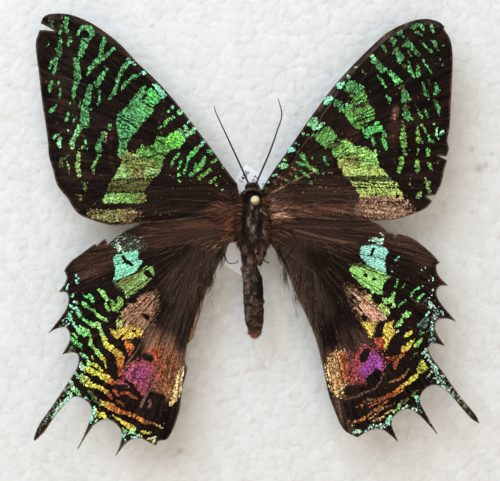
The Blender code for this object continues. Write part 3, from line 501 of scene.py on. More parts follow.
LEFT_HINDWING_PATCHES = {
    "blush~": """-19.4,-11 -19,-13 -19.4,-15.6 -20.4,-18 -22,-19.8 -25,-20.4 -27.2,-18.6
        -26.6,-16.4 -25.2,-14.2 -23,-12.4""",
    "rose": """-24.6,-13.2 -22.4,-12 -20.1,-11 -19.7,-12.1 -20,-14.1 -20.6,-15.7 -21.7,-17.5
        -23.3,-18.9 -26,-18.6 -26.7,-17.6 -26.2,-15.6""",
    "ember~": "-20.6,-22.6 -18,-21 -16,-22.4 -14.8,-25 -15.2,-28.6 -16.6,-31.6 -18.8,-31 -20,-27",
    "crimson~": """-26.2,-27.8 -24.6,-25.4 -22.2,-24 -19.8,-24.6 -18.6,-27 -19.4,-29.6 -21.4,-31.8
        -23,-31.2 -24.6,-29.4""",
    "coral~": "-20.9,-22.4 -19.4,-21.8 -18,-23.4 -17.9,-26.4 -18.6,-28.6 -19.8,-27 -20,-24.8",
    "speck~": "-28.4,-0.4 -26.6,0.1 -24.6,-0.2 -22.4,-1 -21.6,-2.2 -23,-3.2 -25.4,-3.4 -27.6,-2.4",
    "ice": "-27.3,-1.7 -26.4,-2.2 -25.8,-3.4 -26.8,-3.3",
    "sea": """-27.9,-4.7 -27.2,-4 -25.9,-3.6 -24.4,-3.3 -23.1,-3 -22.8,-3.9 -23.2,-4.6 -22,-5.3
        -23,-6.4 -23.1,-7 -24.4,-7.7 -26.1,-8.4 -26.9,-8.8 -27.7,-9.4 -27.8,-8.9 -27.4,-7
        -27.5,-6.1""",
    "grass": """-27.5,-9.6 -26,-8.5 -23.05,-7.4 -21.5,-6.2 -20,-6.3 -19.85,-7.85 -20.8,-9
        -21.4,-9.7 -25.2,-12.5 -25.6,-11.9 -25.8,-10.9 -26.8,-10""",
    "moss~": "-27.4,-9.6 -26,-8.6 -24,-7.9 -23.4,-8.8 -24.6,-10 -26,-10.4",
    "leaf": """-28.6,-12.6 -27.9,-12.85 -27.3,-13.6 -27,-13.4 -27,-12.2 -26.6,-11.9 -26.05,-12.6
        -25.8,-13.6 -26.6,-14.55 -26.9,-15.1 -27.6,-15.05 -28.2,-14.55 -28.3,-14""",
    "lime": """-27.3,-16.65 -26.2,-16.7 -25.8,-16.4 -26.4,-15.25 -25.1,-16.7 -26.2,-17.6
        -26.75,-18.2 -27.2,-17.6""",
    "gold": """-28.6,-18.2 -27.9,-18.5 -27.2,-18.9 -26.5,-18.1 -25,-17.7 -23.8,-17.9 -22.4,-18.3
        -22.2,-19.4 -23,-20.4 -24.5,-20.2 -26,-20.5 -27.4,-20.2 -28.2,-19.4""",
    "magenta": """-25.6,-27 -24.2,-25.5 -21.8,-24.8 -20.1,-26.1 -20.1,-28.1 -20.9,-29.7 -22.4,-30.2
        -24,-28.7 -25.2,-28""",
}

# %% The right hindwing's patches
RIGHT_HINDWING_LINES = {
    "glow": """28.3,-16.6 28.3,-17 27.8,-17.5 27.3,-17.9 /.2 .35 .5 .2; 29.3,-15.1 29.4,-15.7
        28.8,-15.8 30,-15.4 /.25 .5 .4 .2; 29.2,-12.7 28.5,-13.3 27.9,-13.9 /.1 .2; 27.6,-8.8
        27.5,-9.3 27.2,-10.1 /.2 .15; 29,-9.8 28.5,-10.4 /.12; 27.8,-4.4 27.2,-5 /.15; 26.5,-7.2
        /.15; 30.8,-11 30.3,-11.8 /.2; 31.8,-10.3 31.1,-10.8 /.15; 32.5,-10.1 /.12; 32.6,-11.6 /.2;
        32.2,-12 31.5,-12.8 /.25; 34.6,-10.6 34,-11.3 /.1; 34.2,-11.7 /.15; 33.8,-12.3 /.15;
        35,-14.5 35.1,-15 34.9,-15.6 /.25 .4 .2; 36.1,-15 36.5,-15.6 /.2; 33.8,-15 33.3,-15.6 /.15;
        30.4,-18.9 29.8,-19.3 29.3,-19.6 29,-20 /.2 .35 .4 .15; 32.3,-20.4 31.8,-21 31.4,-21.5
        31,-21.8 /.2 .35 .5 .3; 33.4,-18.8 32.8,-19 32,-19.3 /.1 .15 .3; 30.9,-20.3 30.4,-20.8
        29.8,-21.4 29.6,-22.2 28.8,-22.2 28.6,-22.9 28.4,-23.5 /.15 .25 .45 .4 .5 .35 .4; 28,-23.9
        27.6,-24.3 27.3,-25 27.1,-25.6 27,-26 /.35 .3 .4 .4 .3; 25.5,-24 25.9,-24.2 26.4,-24.3
        26.9,-23.9 27.4,-23.8 /.15 .25 .3 .2; 31.3,-23 30.7,-23.6 30.2,-24.2 /.12; 33.2,-22.3
        32.8,-22.9 32.4,-23.4 /.2 .3 .2; 33.4,-22.9 33.2,-23.6 33.1,-24.2 /.15 .3 .1; 33.8,-24
        33.6,-24.6 /.15; 34.3,-25.2 34.6,-25.5 35,-26.2 /.15 .3 .4; 34.2,-26.8 /.25; 34,-27.2
        33.4,-27.9 /.15; 34.7,-28 34.1,-28.7 /.1; 35.5,-28.3 35.8,-27.9 36.3,-27.7 /.4 .3 .35;
        35.5,-28.8 /.3; 21,-32.6 21.9,-32.1 22.6,-32.2 23.4,-32.3 24.5,-32 25.3,-31.7 26,-31.3
        26.6,-31.2 27.2,-30.6 27.8,-30 28.6,-29.5 29.4,-29 30.1,-28.5 30.7,-28 31.3,-27.5 /.2 .35
        .3 .3 .3 .35 .5 .45 .3 .3 .3 .35 .45 .45 .4; 27.5,-31 28.2,-30.6 28.7,-30.2 /.3 .2 .15;
        25.6,-32.4 24.9,-32.9 24.3,-33.4 23.7,-33.9 23,-34.4 22.4,-34.8 21.9,-35.3 21.2,-35.7
        20.7,-36 20,-36.3 19.3,-36.6 18.8,-37.1 /.15 .25 .3 .3 .25 .2 .25 .25 .35 .25 .3 .2;
        27.9,-33.3 27.7,-33.9 /.3; 27.3,-34.2 26.9,-34.6 /.2; 29.7,-32 29.2,-32.4 28.6,-32.7
        28.1,-33 /.3 .35 .3 .2; 30.2,-31.5 30.7,-31 31.3,-30.5 /.2 .4 .2""",
    "ice": """32.25,-6.8 /.15; 33,-6.5 /.15; 33.7,-8.9 /.15; 34.4,-8.4 /.15; 34.5,-8.9 /.12; 34,-8
        /.12; 30.7,-33.8 31,-34.3 /.3 .35; 29.9,-33.4 29.4,-33.4 28.6,-33.9 /.12; 24.5,-37.3 /.5;
        23.5,-37.3 /.25; 22.8,-37.2 /.2; 22.3,-37.3 21.9,-37.8 /.2 .25; 20.7,-38.3 20.2,-38.4
        19.5,-38.4 19,-38.7 /.25 .4 .35 .2; 36.3,-29.5 37,-30.2 37.7,-31 38.5,-31.9 /.25 .3 .25
        .15; 39.3,-32 /.15; 35.5,-14.1 /.12""",
    "sea": """31.3,-31.6 31.4,-32.3 31.6,-33 /.35 .3 .2; 26.2,-35.3 25.9,-36 25.5,-36.4 25.8,-36.9
        /.2 .4 .3""",
    "slate": """33,-12.8 /.35; 34.5,-18.2 /.3; 34.1,-19.3 34.3,-20 34.5,-20.5 33.8,-20.7 /.1 .35 .5
        .4""",
    "drab": """37.4,-29.6 38.8,-31 40.4,-33 42,-35 42.9,-36.2 /.3 .4 .4 .3 .15; 33.4,-35.4
        34.6,-37.8 /.2 .12; 26.8,-37.6 27.3,-39.4 /.2 .12""",
    "bone": "24.2,0.2 24.8,-0.3 /.1; 34.1,-13.5 /.2; 34.1,-14.3 /.2; 27.4,-19 27.8,-18.7 /.15",
    "tan": """26.6,-34.2 25.8,-34.6 25,-35 /.12; 25.2,-35.5 24.4,-35.8 23.6,-36.1 22.9,-36.3 /.25
        .3 .3 .15; 18.2,-36.3 /.2; 25.4,-33.4 24.8,-33.8 24.2,-34.3 23.2,-35.2 22,-36 /.15 .2 .2
        .1""",
    "coral": "17.1,-27.4 18.2,-28.3 19.6,-28.9 /.3 .35 .2; 22.2,-33.6 24.4,-32.6 /.12",
    "rust": """19.6,-33.6 21.4,-33 23,-32.8 /.1; 27.2,-33 25.8,-33.4 24.6,-34 /.1; 29.8,-26
        29.4,-26.9 29,-27.4 28.3,-28 27,-28.5 26,-28.7 /.1 .15 .2 .3 .15 .1""",
    "frost": """33.4,-12.6 34.4,-14 35.2,-15.2 34.3,-17 34.2,-18.8 34.4,-20.6 33.7,-22.2 33.7,-24
        34.6,-26.2 35.6,-27.6 37,-29.4 38.6,-31.4 /.2 .4 .5 .3 .3 .4 .2 .2 .35 .5 .35 .2;
        31.8,-31.6 31.5,-33 32.2,-34.6 /.2 .3 .15; 31,-34.2 28.6,-34 26.6,-36 26.4,-38 /.15 .1 .2
        .15; 25.9,-37 24.4,-37.6 22.4,-37.6 20.6,-38.8 /.3 .2 .15 .2""",
    "mauve": """30.2,-12.3 30.8,-13 31.6,-13.4 32.6,-13.7 33.7,-14.2 /.12; 34.3,-16.2 /.25;
        35.7,-15.8 /.15; 30.3,-3.9 /.12; 24.9,-27.2 24.4,-28.3 24,-29.2 23.2,-29.9 22.3,-30.4
        21.3,-30.8 20.3,-31.2 19.3,-31.7 18,-32 17.5,-32.2 /.1 .15 .2 .2 .15 .25 .2 .2 .15 .1""",
    "bare": """22.9,-2.8 22.5,-3.9 /.28; 21.3,-7.8 21.5,-8.1 /.32; 22.8,-8.7 23.2,-8.7 /.28;
        23.1,-12 23.7,-12.8 /.65; 21,-16.1 21.2,-16.5 /.4; 24.4,-17.5 23.9,-19.4 /.6 .75;
        21.5,-22.9 20.9,-24.2 /.75; 23.8,-27 22.1,-28.3 /.8 .7; 20,-14.2 20.8,-14.9 /.15;
        18.6,-11.8 19.4,-12.4 /.25; 19.4,-10 20.4,-10.9 /.2; 24.6,-21.6 24,-23 /.15; 19.2,-12.4
        20.4,-13.2 /.12""",
}
RIGHT_HINDWING_PATCHES = {
    "tan~": """13.4,-26 14.4,-24 15.8,-22.2 17.2,-22.8 17.6,-26 17.8,-28.8 16.6,-30.2 16.7,-32.2
        15.2,-31.2 14,-28.8""",
    "coral~": "16,-23.2 17.4,-23 18.3,-25.8 17.9,-28.6 17.1,-28.4 16.6,-25.6",
    "crimson~": """17.8,-24.8 19.2,-22.8 21,-21.6 23.8,-22 25.3,-24.8 24.6,-27.2 20.6,-29.2
        18.4,-29""",
    "blush~": "17.4,-9.8 20,-10.6 22.4,-12 24,-14 24.4,-17 22.6,-20.2 21.4,-18.6 19.2,-14.6",
    "ice": "22,-1.1 22.8,-0.6 23.5,-0.6 24.9,-0.8 24.6,-1.9 23.9,-2.1 23.3,-1.5 22.6,-1.3",
    "mist": """20.3,-2.7 21,-2.1 22,-2.1 22.9,-2 24,-2.3 25,-2.5 25.6,-2.9 25.8,-3.4 25.3,-4.2
        25.1,-5 25.2,-6 25.3,-7 25.6,-7.6 24.3,-7.1 22.8,-6.4 21.6,-5.7 21.2,-5.2 20.6,-4.7 20.1,-4
        20.2,-3.5 20.5,-3""",
    "slate": """33.2,-15.5 33.7,-16.2 33.7,-17 33.3,-17.8 33.1,-18.2 32.4,-18.5 31.9,-18.9 32.4,-18
        31.3,-18 31.5,-17.4 32.3,-16.6 33,-15.9""",
    "olive": "18.1,-5.7 19.5,-5.6 20.3,-5.5 21.2,-5.9 22.6,-6.5 22.4,-7.2 20.6,-6.7 18.9,-6.3",
    "sage": """18.9,-6.1 20.6,-6.4 22.5,-6.6 24,-7.1 25.3,-7.6 25.6,-8 26.3,-7.9 26.4,-8.2
        25.6,-8.6 25.4,-9.1 24.9,-9.5 24.7,-10.2 24.6,-11 24.9,-12 24.5,-11.8 24.1,-11.5 23.3,-12.1
        22.8,-11.8 22.4,-11 21.6,-10.4 20.6,-9.9 20,-9.2 19.3,-8.4 18.6,-7.7 18.2,-7 18.5,-6.3;
        24.5,-12.4 25.6,-12.4 26.2,-12 26.7,-11.2 27.05,-11.3 26.95,-12.5 26.9,-13.5 27.2,-13.8
        26.9,-14.3 26.1,-14.4 26.6,-13.7 26.4,-13.1 25.8,-13.4 25.4,-13.6 24.8,-13.2""",
    "citron": """32.4,-24 32.8,-24.7 33.2,-25.3 33.5,-26 33.3,-26.7 32.9,-26.4 32.5,-27 31.5,-27
        31.2,-26.3 31.6,-25.4 31.9,-24.7""",
    "peach": """17.9,-10.3 18.9,-11.4 19.4,-10.6 19.8,-11.8 20.6,-12.3 22.2,-11.5 22.7,-12.2
        22.6,-12.8 21.8,-13.3 20.4,-13.2 19.6,-12.6; 19,-14.4 20,-13.6 22.5,-13.4 24,-14.6
        25.4,-15.9 25.4,-16.7 24,-16.8 22.6,-17.2 21.9,-16.4 21.7,-15.7 20.6,-15.5 20,-14.9""",
    "lime": """23.4,-14 24.4,-13.4 25,-13.6 25.9,-14.5 26,-15.2 25.7,-16 24.8,-15.6 24,-14.8;
        21.4,-12.2 22.5,-12 22.6,-12.5 21.8,-13.1""",
    "coral": """22,-19.8 22.3,-20.2 23,-20.3 23.2,-21 23.6,-21.6 24,-22.1 24.6,-22.4 25,-22.8
        25.2,-22 25,-21 24.7,-20.1 23.5,-20.1""",
    "gold": """20.6,-17.2 22,-17.1 23.6,-17.2 23.2,-18 22.9,-19 22.7,-20 22,-20 21.6,-19 21.2,-18;
        25.1,-17.5 25.4,-17.1 26.2,-17.1 26.8,-16.7 26.7,-17.2 26.5,-17.7 26.9,-18.3 27.1,-18.9
        27.3,-19.2 26.8,-19.7 26.3,-20.1 26,-20.6 25.8,-21.3 25.6,-22 25.3,-22.6 25.1,-22 25,-20.6
        24.7,-20.1 24.6,-19 24.8,-18.3""",
    "magenta": """22.6,-22.9 22.1,-23.6 21.6,-24.3 21,-25.1 20.4,-26 20.3,-26.8 20.9,-27.3
        21.3,-27.8 21.9,-28 22.5,-27.4 23,-26.9 23.3,-26.3 23.9,-26.5 24.6,-26.4 24.8,-25.5
        24.5,-24.6 24,-23.9 23.4,-23.3""",
    "violet~": """20,-26.8 20.8,-25 21.8,-23.4 22.8,-22.6 24.2,-23.4 25.3,-24.8 24.8,-26.2
        23.4,-26.8 22.6,-27.6 21.4,-28.2""",
    "cream~": "13.7,-26.6 14.4,-26.2 15.2,-29.3 16.4,-31.8 15.4,-31.6 14.3,-29.6",
}

# %% [markdown]
# ## The wings' outlines
#
# The outlines are the solids' own: strokes that meet at the corners, tears and tails of the real
# wing.  The root isn't a stroke.  It runs along the side of the thorax.

# %% Outlines as strokes
LEFT_FOREWING = [
    "-3.65,9.9 -5.65,12.45 -8.5,16.45 -11.3,20.15 -15,25 -19,29.55 -23,33.35 -26.4,37 -30,39.8"
    " -33.3,41.7 -36.7,42.8 -40,42.8 -41.3,42.1 -41.8,41",
    "-41.8,41 -40.2,40.2 -38.95,39.4",
    "-38.95,39.4 -40.5,39.65 -42,39.65",
    "-42,39.65 -42.75,36.8 -42.1,31 -41.4,24.9 -40.85,21.5 -40.4,17.8 -40.2,15.2 -39.3,12.1"
    " -38.6,9.6 -36.6,7 -35.3,4.9 -33.9,3.65 -32.1,2.95 -30,2.25 -27.4,1.75 -23.2,2.2 -17.6,2.5"
    " -9.2,3.4 -3.6,3.2",
]
RIGHT_FOREWING = [
    "0.95,8.6 3,11.9 5.9,15.95 9,20.5 12,24.7 15,28.65 18,32.05 21,35.15 25,38.85 28,40.6"
    " 31,41.65 33.5,41.85 35.6,41.2 36.6,40.3",
    "36.6,40.3 36.4,40",
    "36.4,40 37.6,38.1 38.1,35.5 38.15,32 37.9,27 37.6,21 37.15,18.3 37.45,16.6 37,15.2",
    "37,15.2 35.4,15.35", "35.4,15.35 37.1,14.4", "37.1,14.4 36.5,12.4 36,10 34.9,7.7",
    "34.9,7.7 33.1,7.45", "33.1,7.45 34.2,6.5",
    "34.2,6.5 33.2,5.3 31.4,4.35 28.6,3.4 25.4,2.8 19,2.8 9,3.2 2.4,3.2",
]
LEFT_HINDWING = [
    "-3.6,3.9 -9,5.2 -15,5 -20,3.2 -24,1.5 -26.2,0.3 -28.9,-1.9",
    "-28.9,-1.9 -29.4,-0.9 -30.2,-1.4 -31,-2.2", "-31,-2.2 -31.4,-1.8",
    "-31.4,-1.8 -34.2,-3.9 -36.2,-5.4 -37.35,-7",
    "-37.35,-7 -36.85,-8.3 -37.3,-9.7 -38.4,-11.2",
    "-38.4,-11.2 -36.9,-11.3 -36.5,-12.8 -37.3,-15.1 -40.4,-19.2",
    "-40.4,-19.2 -38.8,-18.3 -37.2,-18.1 -36.3,-19.2 -36.4,-20.9 -37.7,-23.35",
    "-37.7,-23.35 -36.3,-23 -34.9,-23.2 -34.5,-24.4 -35.1,-26.4 -37.15,-29.65 -39.95,-33.75"
    " -42.2,-36.95 -43.3,-39.6 -43.1,-40.25",
    "-43.1,-40.25 -41.2,-38.35 -39.7,-36.1 -37.6,-33.5 -35.9,-31.8 -34.2,-31.7 -32.5,-33"
    " -31.95,-34.8 -33.1,-38.1 -34.8,-41.9",
    "-34.8,-41.9 -32.9,-38.9 -31.4,-37 -29.4,-36 -27.4,-36.8 -26.2,-38.5 -26.4,-40.6 -27.3,-43.1",
    "-27.3,-43.1 -25.8,-41.2 -24.2,-39.9 -22.4,-39.7 -20.7,-40.6 -19.5,-41.1",
    "-19.5,-41.1 -19,-40.25 -17.3,-39.8 -15.9,-37.3 -14.9,-34 -14.4,-30 -13.5,-26.4 -13.9,-24.5"
    " -13.4,-21.3",
    "-13.4,-21.3 -12.3,-20 -11,-15.6 -9.7,-11.2 -8.2,-7.85 -6.4,-3.9 -5.2,-1.6 -3.7,-0.8",
]
RIGHT_HINDWING = [
    "2.4,3.9 9,5.2 15,5 20,3.6 24,1.9 25.6,0.5 26.5,0.3 27.15,-0.4", "27.15,-0.4 27.6,0.15",
    "27.6,0.15 30,-0.5 32,-1.8 34,-3.5 35.8,-5.4", "35.8,-5.4 35.1,-6.3 35.5,-7.9 37.35,-9.95",
    "37.35,-9.95 35.9,-10 35.15,-11 35.4,-12.5 36.6,-14.2 38.9,-16.9",
    "38.9,-16.9 37.2,-16.35 35.7,-16.55 34.9,-17.5 35.1,-19 36.75,-21.7",
    "36.75,-21.7 35.4,-21.3 34.2,-21.3 33.65,-22.3 34.2,-23.9 36.6,-27.1 39.4,-31.1 42,-34.2"
    " 43,-35.5 43.55,-36.85",
    "43.55,-36.85 41.7,-35.6 38.3,-31.65 36.6,-30.15 35,-29.3 33.3,-29.8 32.1,-31.3 32.1,-33"
    " 33.5,-35.6 35.35,-38.95",
    "35.35,-38.95 33,-36.3 31.4,-34.85 29.5,-33.95 27.6,-34.7 26.5,-36.2 26.6,-37.7 27.7,-40.4",
    "27.7,-40.4 26.1,-39 24.8,-38.1 23.2,-37.9 21.5,-38.5 19.8,-39.55",
    "19.8,-39.55 17.8,-38.6 16.6,-37.25 15.6,-35 14.2,-31.2 13.6,-28.4 12.8,-24.6 11.6,-20.1"
    " 9.9,-16 7.9,-11.8 6.7,-8.9 5.6,-6.2 4.4,-4.2 3.2,-2.3 2.5,-1.6",
]

# %% From strokes to an outline
# The body's rings: place along Y, middle X, half width, middle height, half height.
THORAX_RINGS = np.array([
    (8.15, -0.75, 0.9, 31.3, 1.2), (7.9, -0.75, 1.6, 31.25, 1.9), (7.0, -0.75, 2.15, 31.2, 2.6),
    (5.5, -0.75, 2.45, 31.2, 3.1), (3.4, -0.65, 2.6, 31.2, 3.3), (1.0, -0.6, 2.7, 31.2, 3.25),
    (-1.3, -0.6, 2.7, 31.1, 2.95), (-3.0, -0.65, 2.55, 30.95, 2.55),
    (-4.5, -0.7, 2.35, 30.85, 2.2), (-5.3, -0.75, 1.9, 30.75, 1.7),
])
BODY_GAP = 0.2


def places_in(text):
    """The places written as "x,y x,y"."""
    return np.array([pair.split(",") for pair in text.split()], float)


def ring_at(rings, y):
    """The body's middle, half width, middle height and half height at y, between its rings."""
    ordered = rings[rings[:, 0].argsort()]
    return np.array([np.interp(y, ordered[:, 0], column) for column in ordered.T[1:]])


def wing_outline(strokes, side):
    """Smooth strokes end to end, then the root, a gap away from the thorax."""
    lines = [smooth_line(places_in(stroke), 5)[:-1] for stroke in strokes]
    last_y = places_in(strokes[-1])[-1, 1]
    y = np.linspace(last_y, min(places_in(strokes[0])[0, 1], THORAX_RINGS[2, 0]), 6)
    middle, half_width = ring_at(THORAX_RINGS, y)[:2]
    root = np.stack([middle + side * (half_width + BODY_GAP), y], 1)
    return np.vstack([*lines, root])

# %% [markdown]
# ## How deep a point lies in a shape
#
# Both the wing's edge and its patches need one measure: how far inside a shape a point lies, with
# a minus sign outside it.  For a closed outline that is the distance to its nearest side.  For a
# line with widths it is the width there less the distance to the line.

# %% Depth in an outline and in a line
def depth_in_outline(points, outline):
    """Distance to the nearest side, plus inside, and the nearest place on it.

    A point is inside where a level ray from it crosses the outline an odd number of times.
    """
    start = outline
    side = np.roll(outline, -1, axis=0) - start
    length = np.maximum((side ** 2).sum(1), 1e-9)
    rise = np.where(np.abs(side[:, 1]) < 1e-12, 1e-12, side[:, 1])
    depth = np.empty(len(points))
    nearest = np.empty((len(points), 2))
    for part in np.array_split(np.arange(len(points)), 1 + len(points) * len(start) // 2_000_000):
        gap = points[part][:, None] - start
        along = np.clip((gap * side).sum(2) / length, 0, 1)
        away = np.linalg.norm(gap - along[..., None] * side, axis=2)
        best = away.argmin(1)
        row = np.arange(len(part))
        nearest[part] = start[best] + along[row, best][:, None] * side[best]
        crossed = (gap[..., 1] < 0) != (gap[..., 1] < side[:, 1])
        crossed &= gap[..., 0] < gap[..., 1] * side[:, 0] / rise
        depth[part] = np.where(crossed.sum(1) % 2 == 1, 1, -1) * away[row, best]
    return depth, nearest


def depth_in_line(points, places, widths):
    """Half width at the nearest place of the line, less the distance to it."""
    if len(places) == 1:
        return widths[0] - np.linalg.norm(points - places[0], axis=1)
    side = places[1:] - places[:-1]
    gap = points[:, None] - places[:-1]
    along = np.clip((gap * side).sum(2) / np.maximum((side ** 2).sum(1), 1e-9), 0, 1)
    away = np.linalg.norm(gap - along[..., None] * side, axis=2)
    return (widths[:-1] + along * (widths[1:] - widths[:-1]) - away).max(1)


def read_lines(text):
    """The lines written as "x,y x,y / w w; ...", the last width standing for any that are left."""
    for line in text.split(";"):
        places, widths = line.split("/")
        places = places_in(places)
        widths = np.array(widths.split(), float)
        yield places, np.append(widths, [widths[-1]] * (len(places) - len(widths)))

# %% [markdown]
# ## The scales' colours
#
# Each named colour has a second number: how broken its patch is by dark scales.  Most patches just
# glow in the hue that their part of the wing has, which drifts from turquoise through green and
# gold to red.  A few places set that hue, and every point takes the nearest ones, weighted by the
# fourth power of their closeness.

# %% Named colours
SCALE_COLOURS = {
    "ice": ((182, 230, 214), 0.2), "mist": ((164, 232, 230), 0.35), "sea": ((146, 232, 208), 0.3),
    "mint": ((146, 214, 164), 0.4), "jade": ((98, 166, 108), 0.78),
    "leaf": ((138, 188, 102), 0.72), "sage": ((166, 228, 136), 0.42),
    "lime": ((188, 208, 122), 0.7), "moss": ((140, 148, 84), 0.85),
    "green": ((104, 206, 118), 0.6), "lawn": ((124, 214, 92), 0.55),
    "fern": ((108, 164, 86), 0.85), "reed": ((158, 146, 98), 0.95), "teal": ((94, 176, 118), 0.75),
    "grass": ((154, 188, 118), 0.75), "pink": ((176, 134, 116), 0.84),
    "spring": ((116, 212, 126), 0.6), "olive": ((96, 106, 62), 1.0),
    "straw": ((196, 186, 112), 0.8), "yellow": ((230, 222, 96), 0.45),
    "gold": ((232, 196, 96), 0.5), "orange": ((208, 124, 64), 0.5), "coral": ((190, 88, 62), 0.65),
    "rust": ((150, 94, 66), 0.7), "crimson": ((172, 78, 92), 0.85),
    "magenta": ((184, 88, 126), 0.8), "violet": ((172, 80, 178), 0.7),
    "mauve": ((126, 84, 82), 0.8), "rose": ((192, 136, 120), 0.86), "blush": ((142, 108, 84), 0.9),
    "tan": ((224, 170, 124), 0.9), "cream": ((246, 208, 160), 0.6), "bone": ((214, 206, 186), 0.5),
    "ember": ((152, 94, 68), 0.92), "drab": ((140, 134, 118), 1.1),
    "slate": ((106, 130, 130), 1.0), "frost": ((186, 210, 206), 1.25),
    "dusk": ((92, 92, 54), 0.45), "peach": ((244, 182, 166), 0.62),
    "citron": ((192, 192, 88), 0.7), "sprig": ((158, 212, 118), 0.6),
    "speck": ((212, 216, 204), 1.76),
}

# %% Drifting hues
# For each wing: a hue and the places that have it.
GLOW = {
    "forewing_left": """jade -40,38 -33,37 -30,35 -24,31 -22.8,27.6 -23.8,25.4 -23.4,24 -26,17.6
        -33,23 -38,27 -33,29 -30.5,17; green -20.3,27 -13,14; teal -25.5,21; lawn -15.7,18.8; fern
        -19,17.6 -21.4,16 -19.2,15.2; moss -24.6,14.6 -23.4,13.6 -20.4,13.8 -22,7; grass -26.4,12.4
        -20.4,12 -29.4,7 -35,14; reed -23,12; leaf -25,7 -9,11; mint -13.6,20.8 -38.6,18.4""",
    "forewing_right": """jade 31,40 28,34.5 31,36 24,32 29,27 29,23.5 19.5,29 16,25 9,13 13.5,14.5
        23,18 33,28 35,25; spring 27,30 34,18.2; leaf 28.6,19 28.3,13.5 31.4,19.5 31.4,13 33.6,13
        16.4,15.8 11,12.5 8,11 33,20; grass 33.4,10 32,8; fern 20.5,26 20,22.5 18,24.5 13.5,19
        15.3,17 15.4,18.2; sprig 18.4,17 21,16.6 22.6,14.4; moss 18.8,14.7; straw 17.2,13.4; lime
        18.5,12.4 22.6,12.5; green 25,18""",
    "hindwing_left": """sea -35,-8.5 -35,-15 -36,-16.5; spring -32,-11.5 -33,-14 -34.4,-16 -33,-17
        -33.5,-19.2 -35,-21; sage -30,-11.5 -30,-16 -31,-17.6 -33,-18.8 -30,-19 -32.2,-21 -31,-23
        -32.7,-25.3; mint -35,-18.3 -33.5,-24 -35,-27.5 -36.5,-31 -35,-30.6 -31.3,-36.8 -25.3,-38.5
        -23,-39; ice -37,-17 -34,-26 -36,-29; yellow -29.5,-20.8 -28,-22 -30,-24.2 -31.5,-25.4
        -30.2,-26.4 -32.5,-26.4 -30.5,-27.1 -32.5,-29.2 -31,-29.6 -30.7,-35 -27,-36 -22,-38.5; gold
        -27.2,-23 -29,-28 -29.8,-30.3 -29.5,-33 -25,-37.3; orange -26.6,-24.8 -25,-21.5 -28,-33.5
        -23,-35.8; coral -26.4,-26.4 -24.8,-23.4 -28,-29 -28.4,-31.6 -27,-31 -25,-31 -26,-34.6;
        lime -33.6,-28.2; crimson -26,-28.7; rust -26.5,-32.8 -21,-36.7; olive -32,-31.2 -31,-33;
        tan -19,-37.3""",
    "hindwing_right": """sea 27,-5; spring 27.5,-9.5 29,-10 31,-11 28.5,-13.3 32,-12.5 32.6,-19;
        ice 34.3,-11.5 31,-14.8 32.8,-22.9 33.2,-23.5 34.7,-25.8 34.2,-26.8 35.7,-28.3; mist 35,-15
        36.3,-15.3; sage 29.3,-15.7 28.2,-17.3 31.6,-21.3 27.5,-34; yellow 30,-19.3 30.2,-21
        31,-27.8; gold 29,-22.3 29.4,-29; orange 28.5,-23.3 27.5,-30.3 28.2,-30.6 20.5,-36.2; coral
        27.4,-25 26.4,-24.2 26,-31.3; olive 30.7,-23.6 29.2,-32.4 30.7,-31; mauve 21.5,-32.3; rust
        24,-32.2 25,-32.9 22.5,-34.8; tan 19,-37""",
}


def scale_paint(name):
    """A named colour as linear light, with its brokenness as a fourth number."""
    colour, broken = SCALE_COLOURS[name]
    return np.append(to_linear(colour), broken)


def glow_at(wing, points):
    """The drifting hue: each place counts by the fourth power of its closeness."""
    total, weight = 0, 0
    for entry in GLOW[wing].split(";"):
        name, places = entry.split(maxsplit=1)
        closeness = sum((((points - place) ** 2).sum(1) + 0.05) ** -2
                        for place in places_in(places))
        total = total + closeness[:, None] * scale_paint(name)
        weight = weight + closeness
    return total / weight[:, None]

# %% [markdown]
# ## The bare ground and the veins
#
# Between the patches the wing is black-brown, but not evenly: browner near the body, greyer along
# the thick front edge, and paler along the veins.  Those tints are soft lines laid over one
# another, as with a wide brush.

# %% Ground tints
GROUND_COLOUR = (22, 13, 9)
WORN_COLOUR, WORN_WIDTH = (104, 82, 66), 0.4
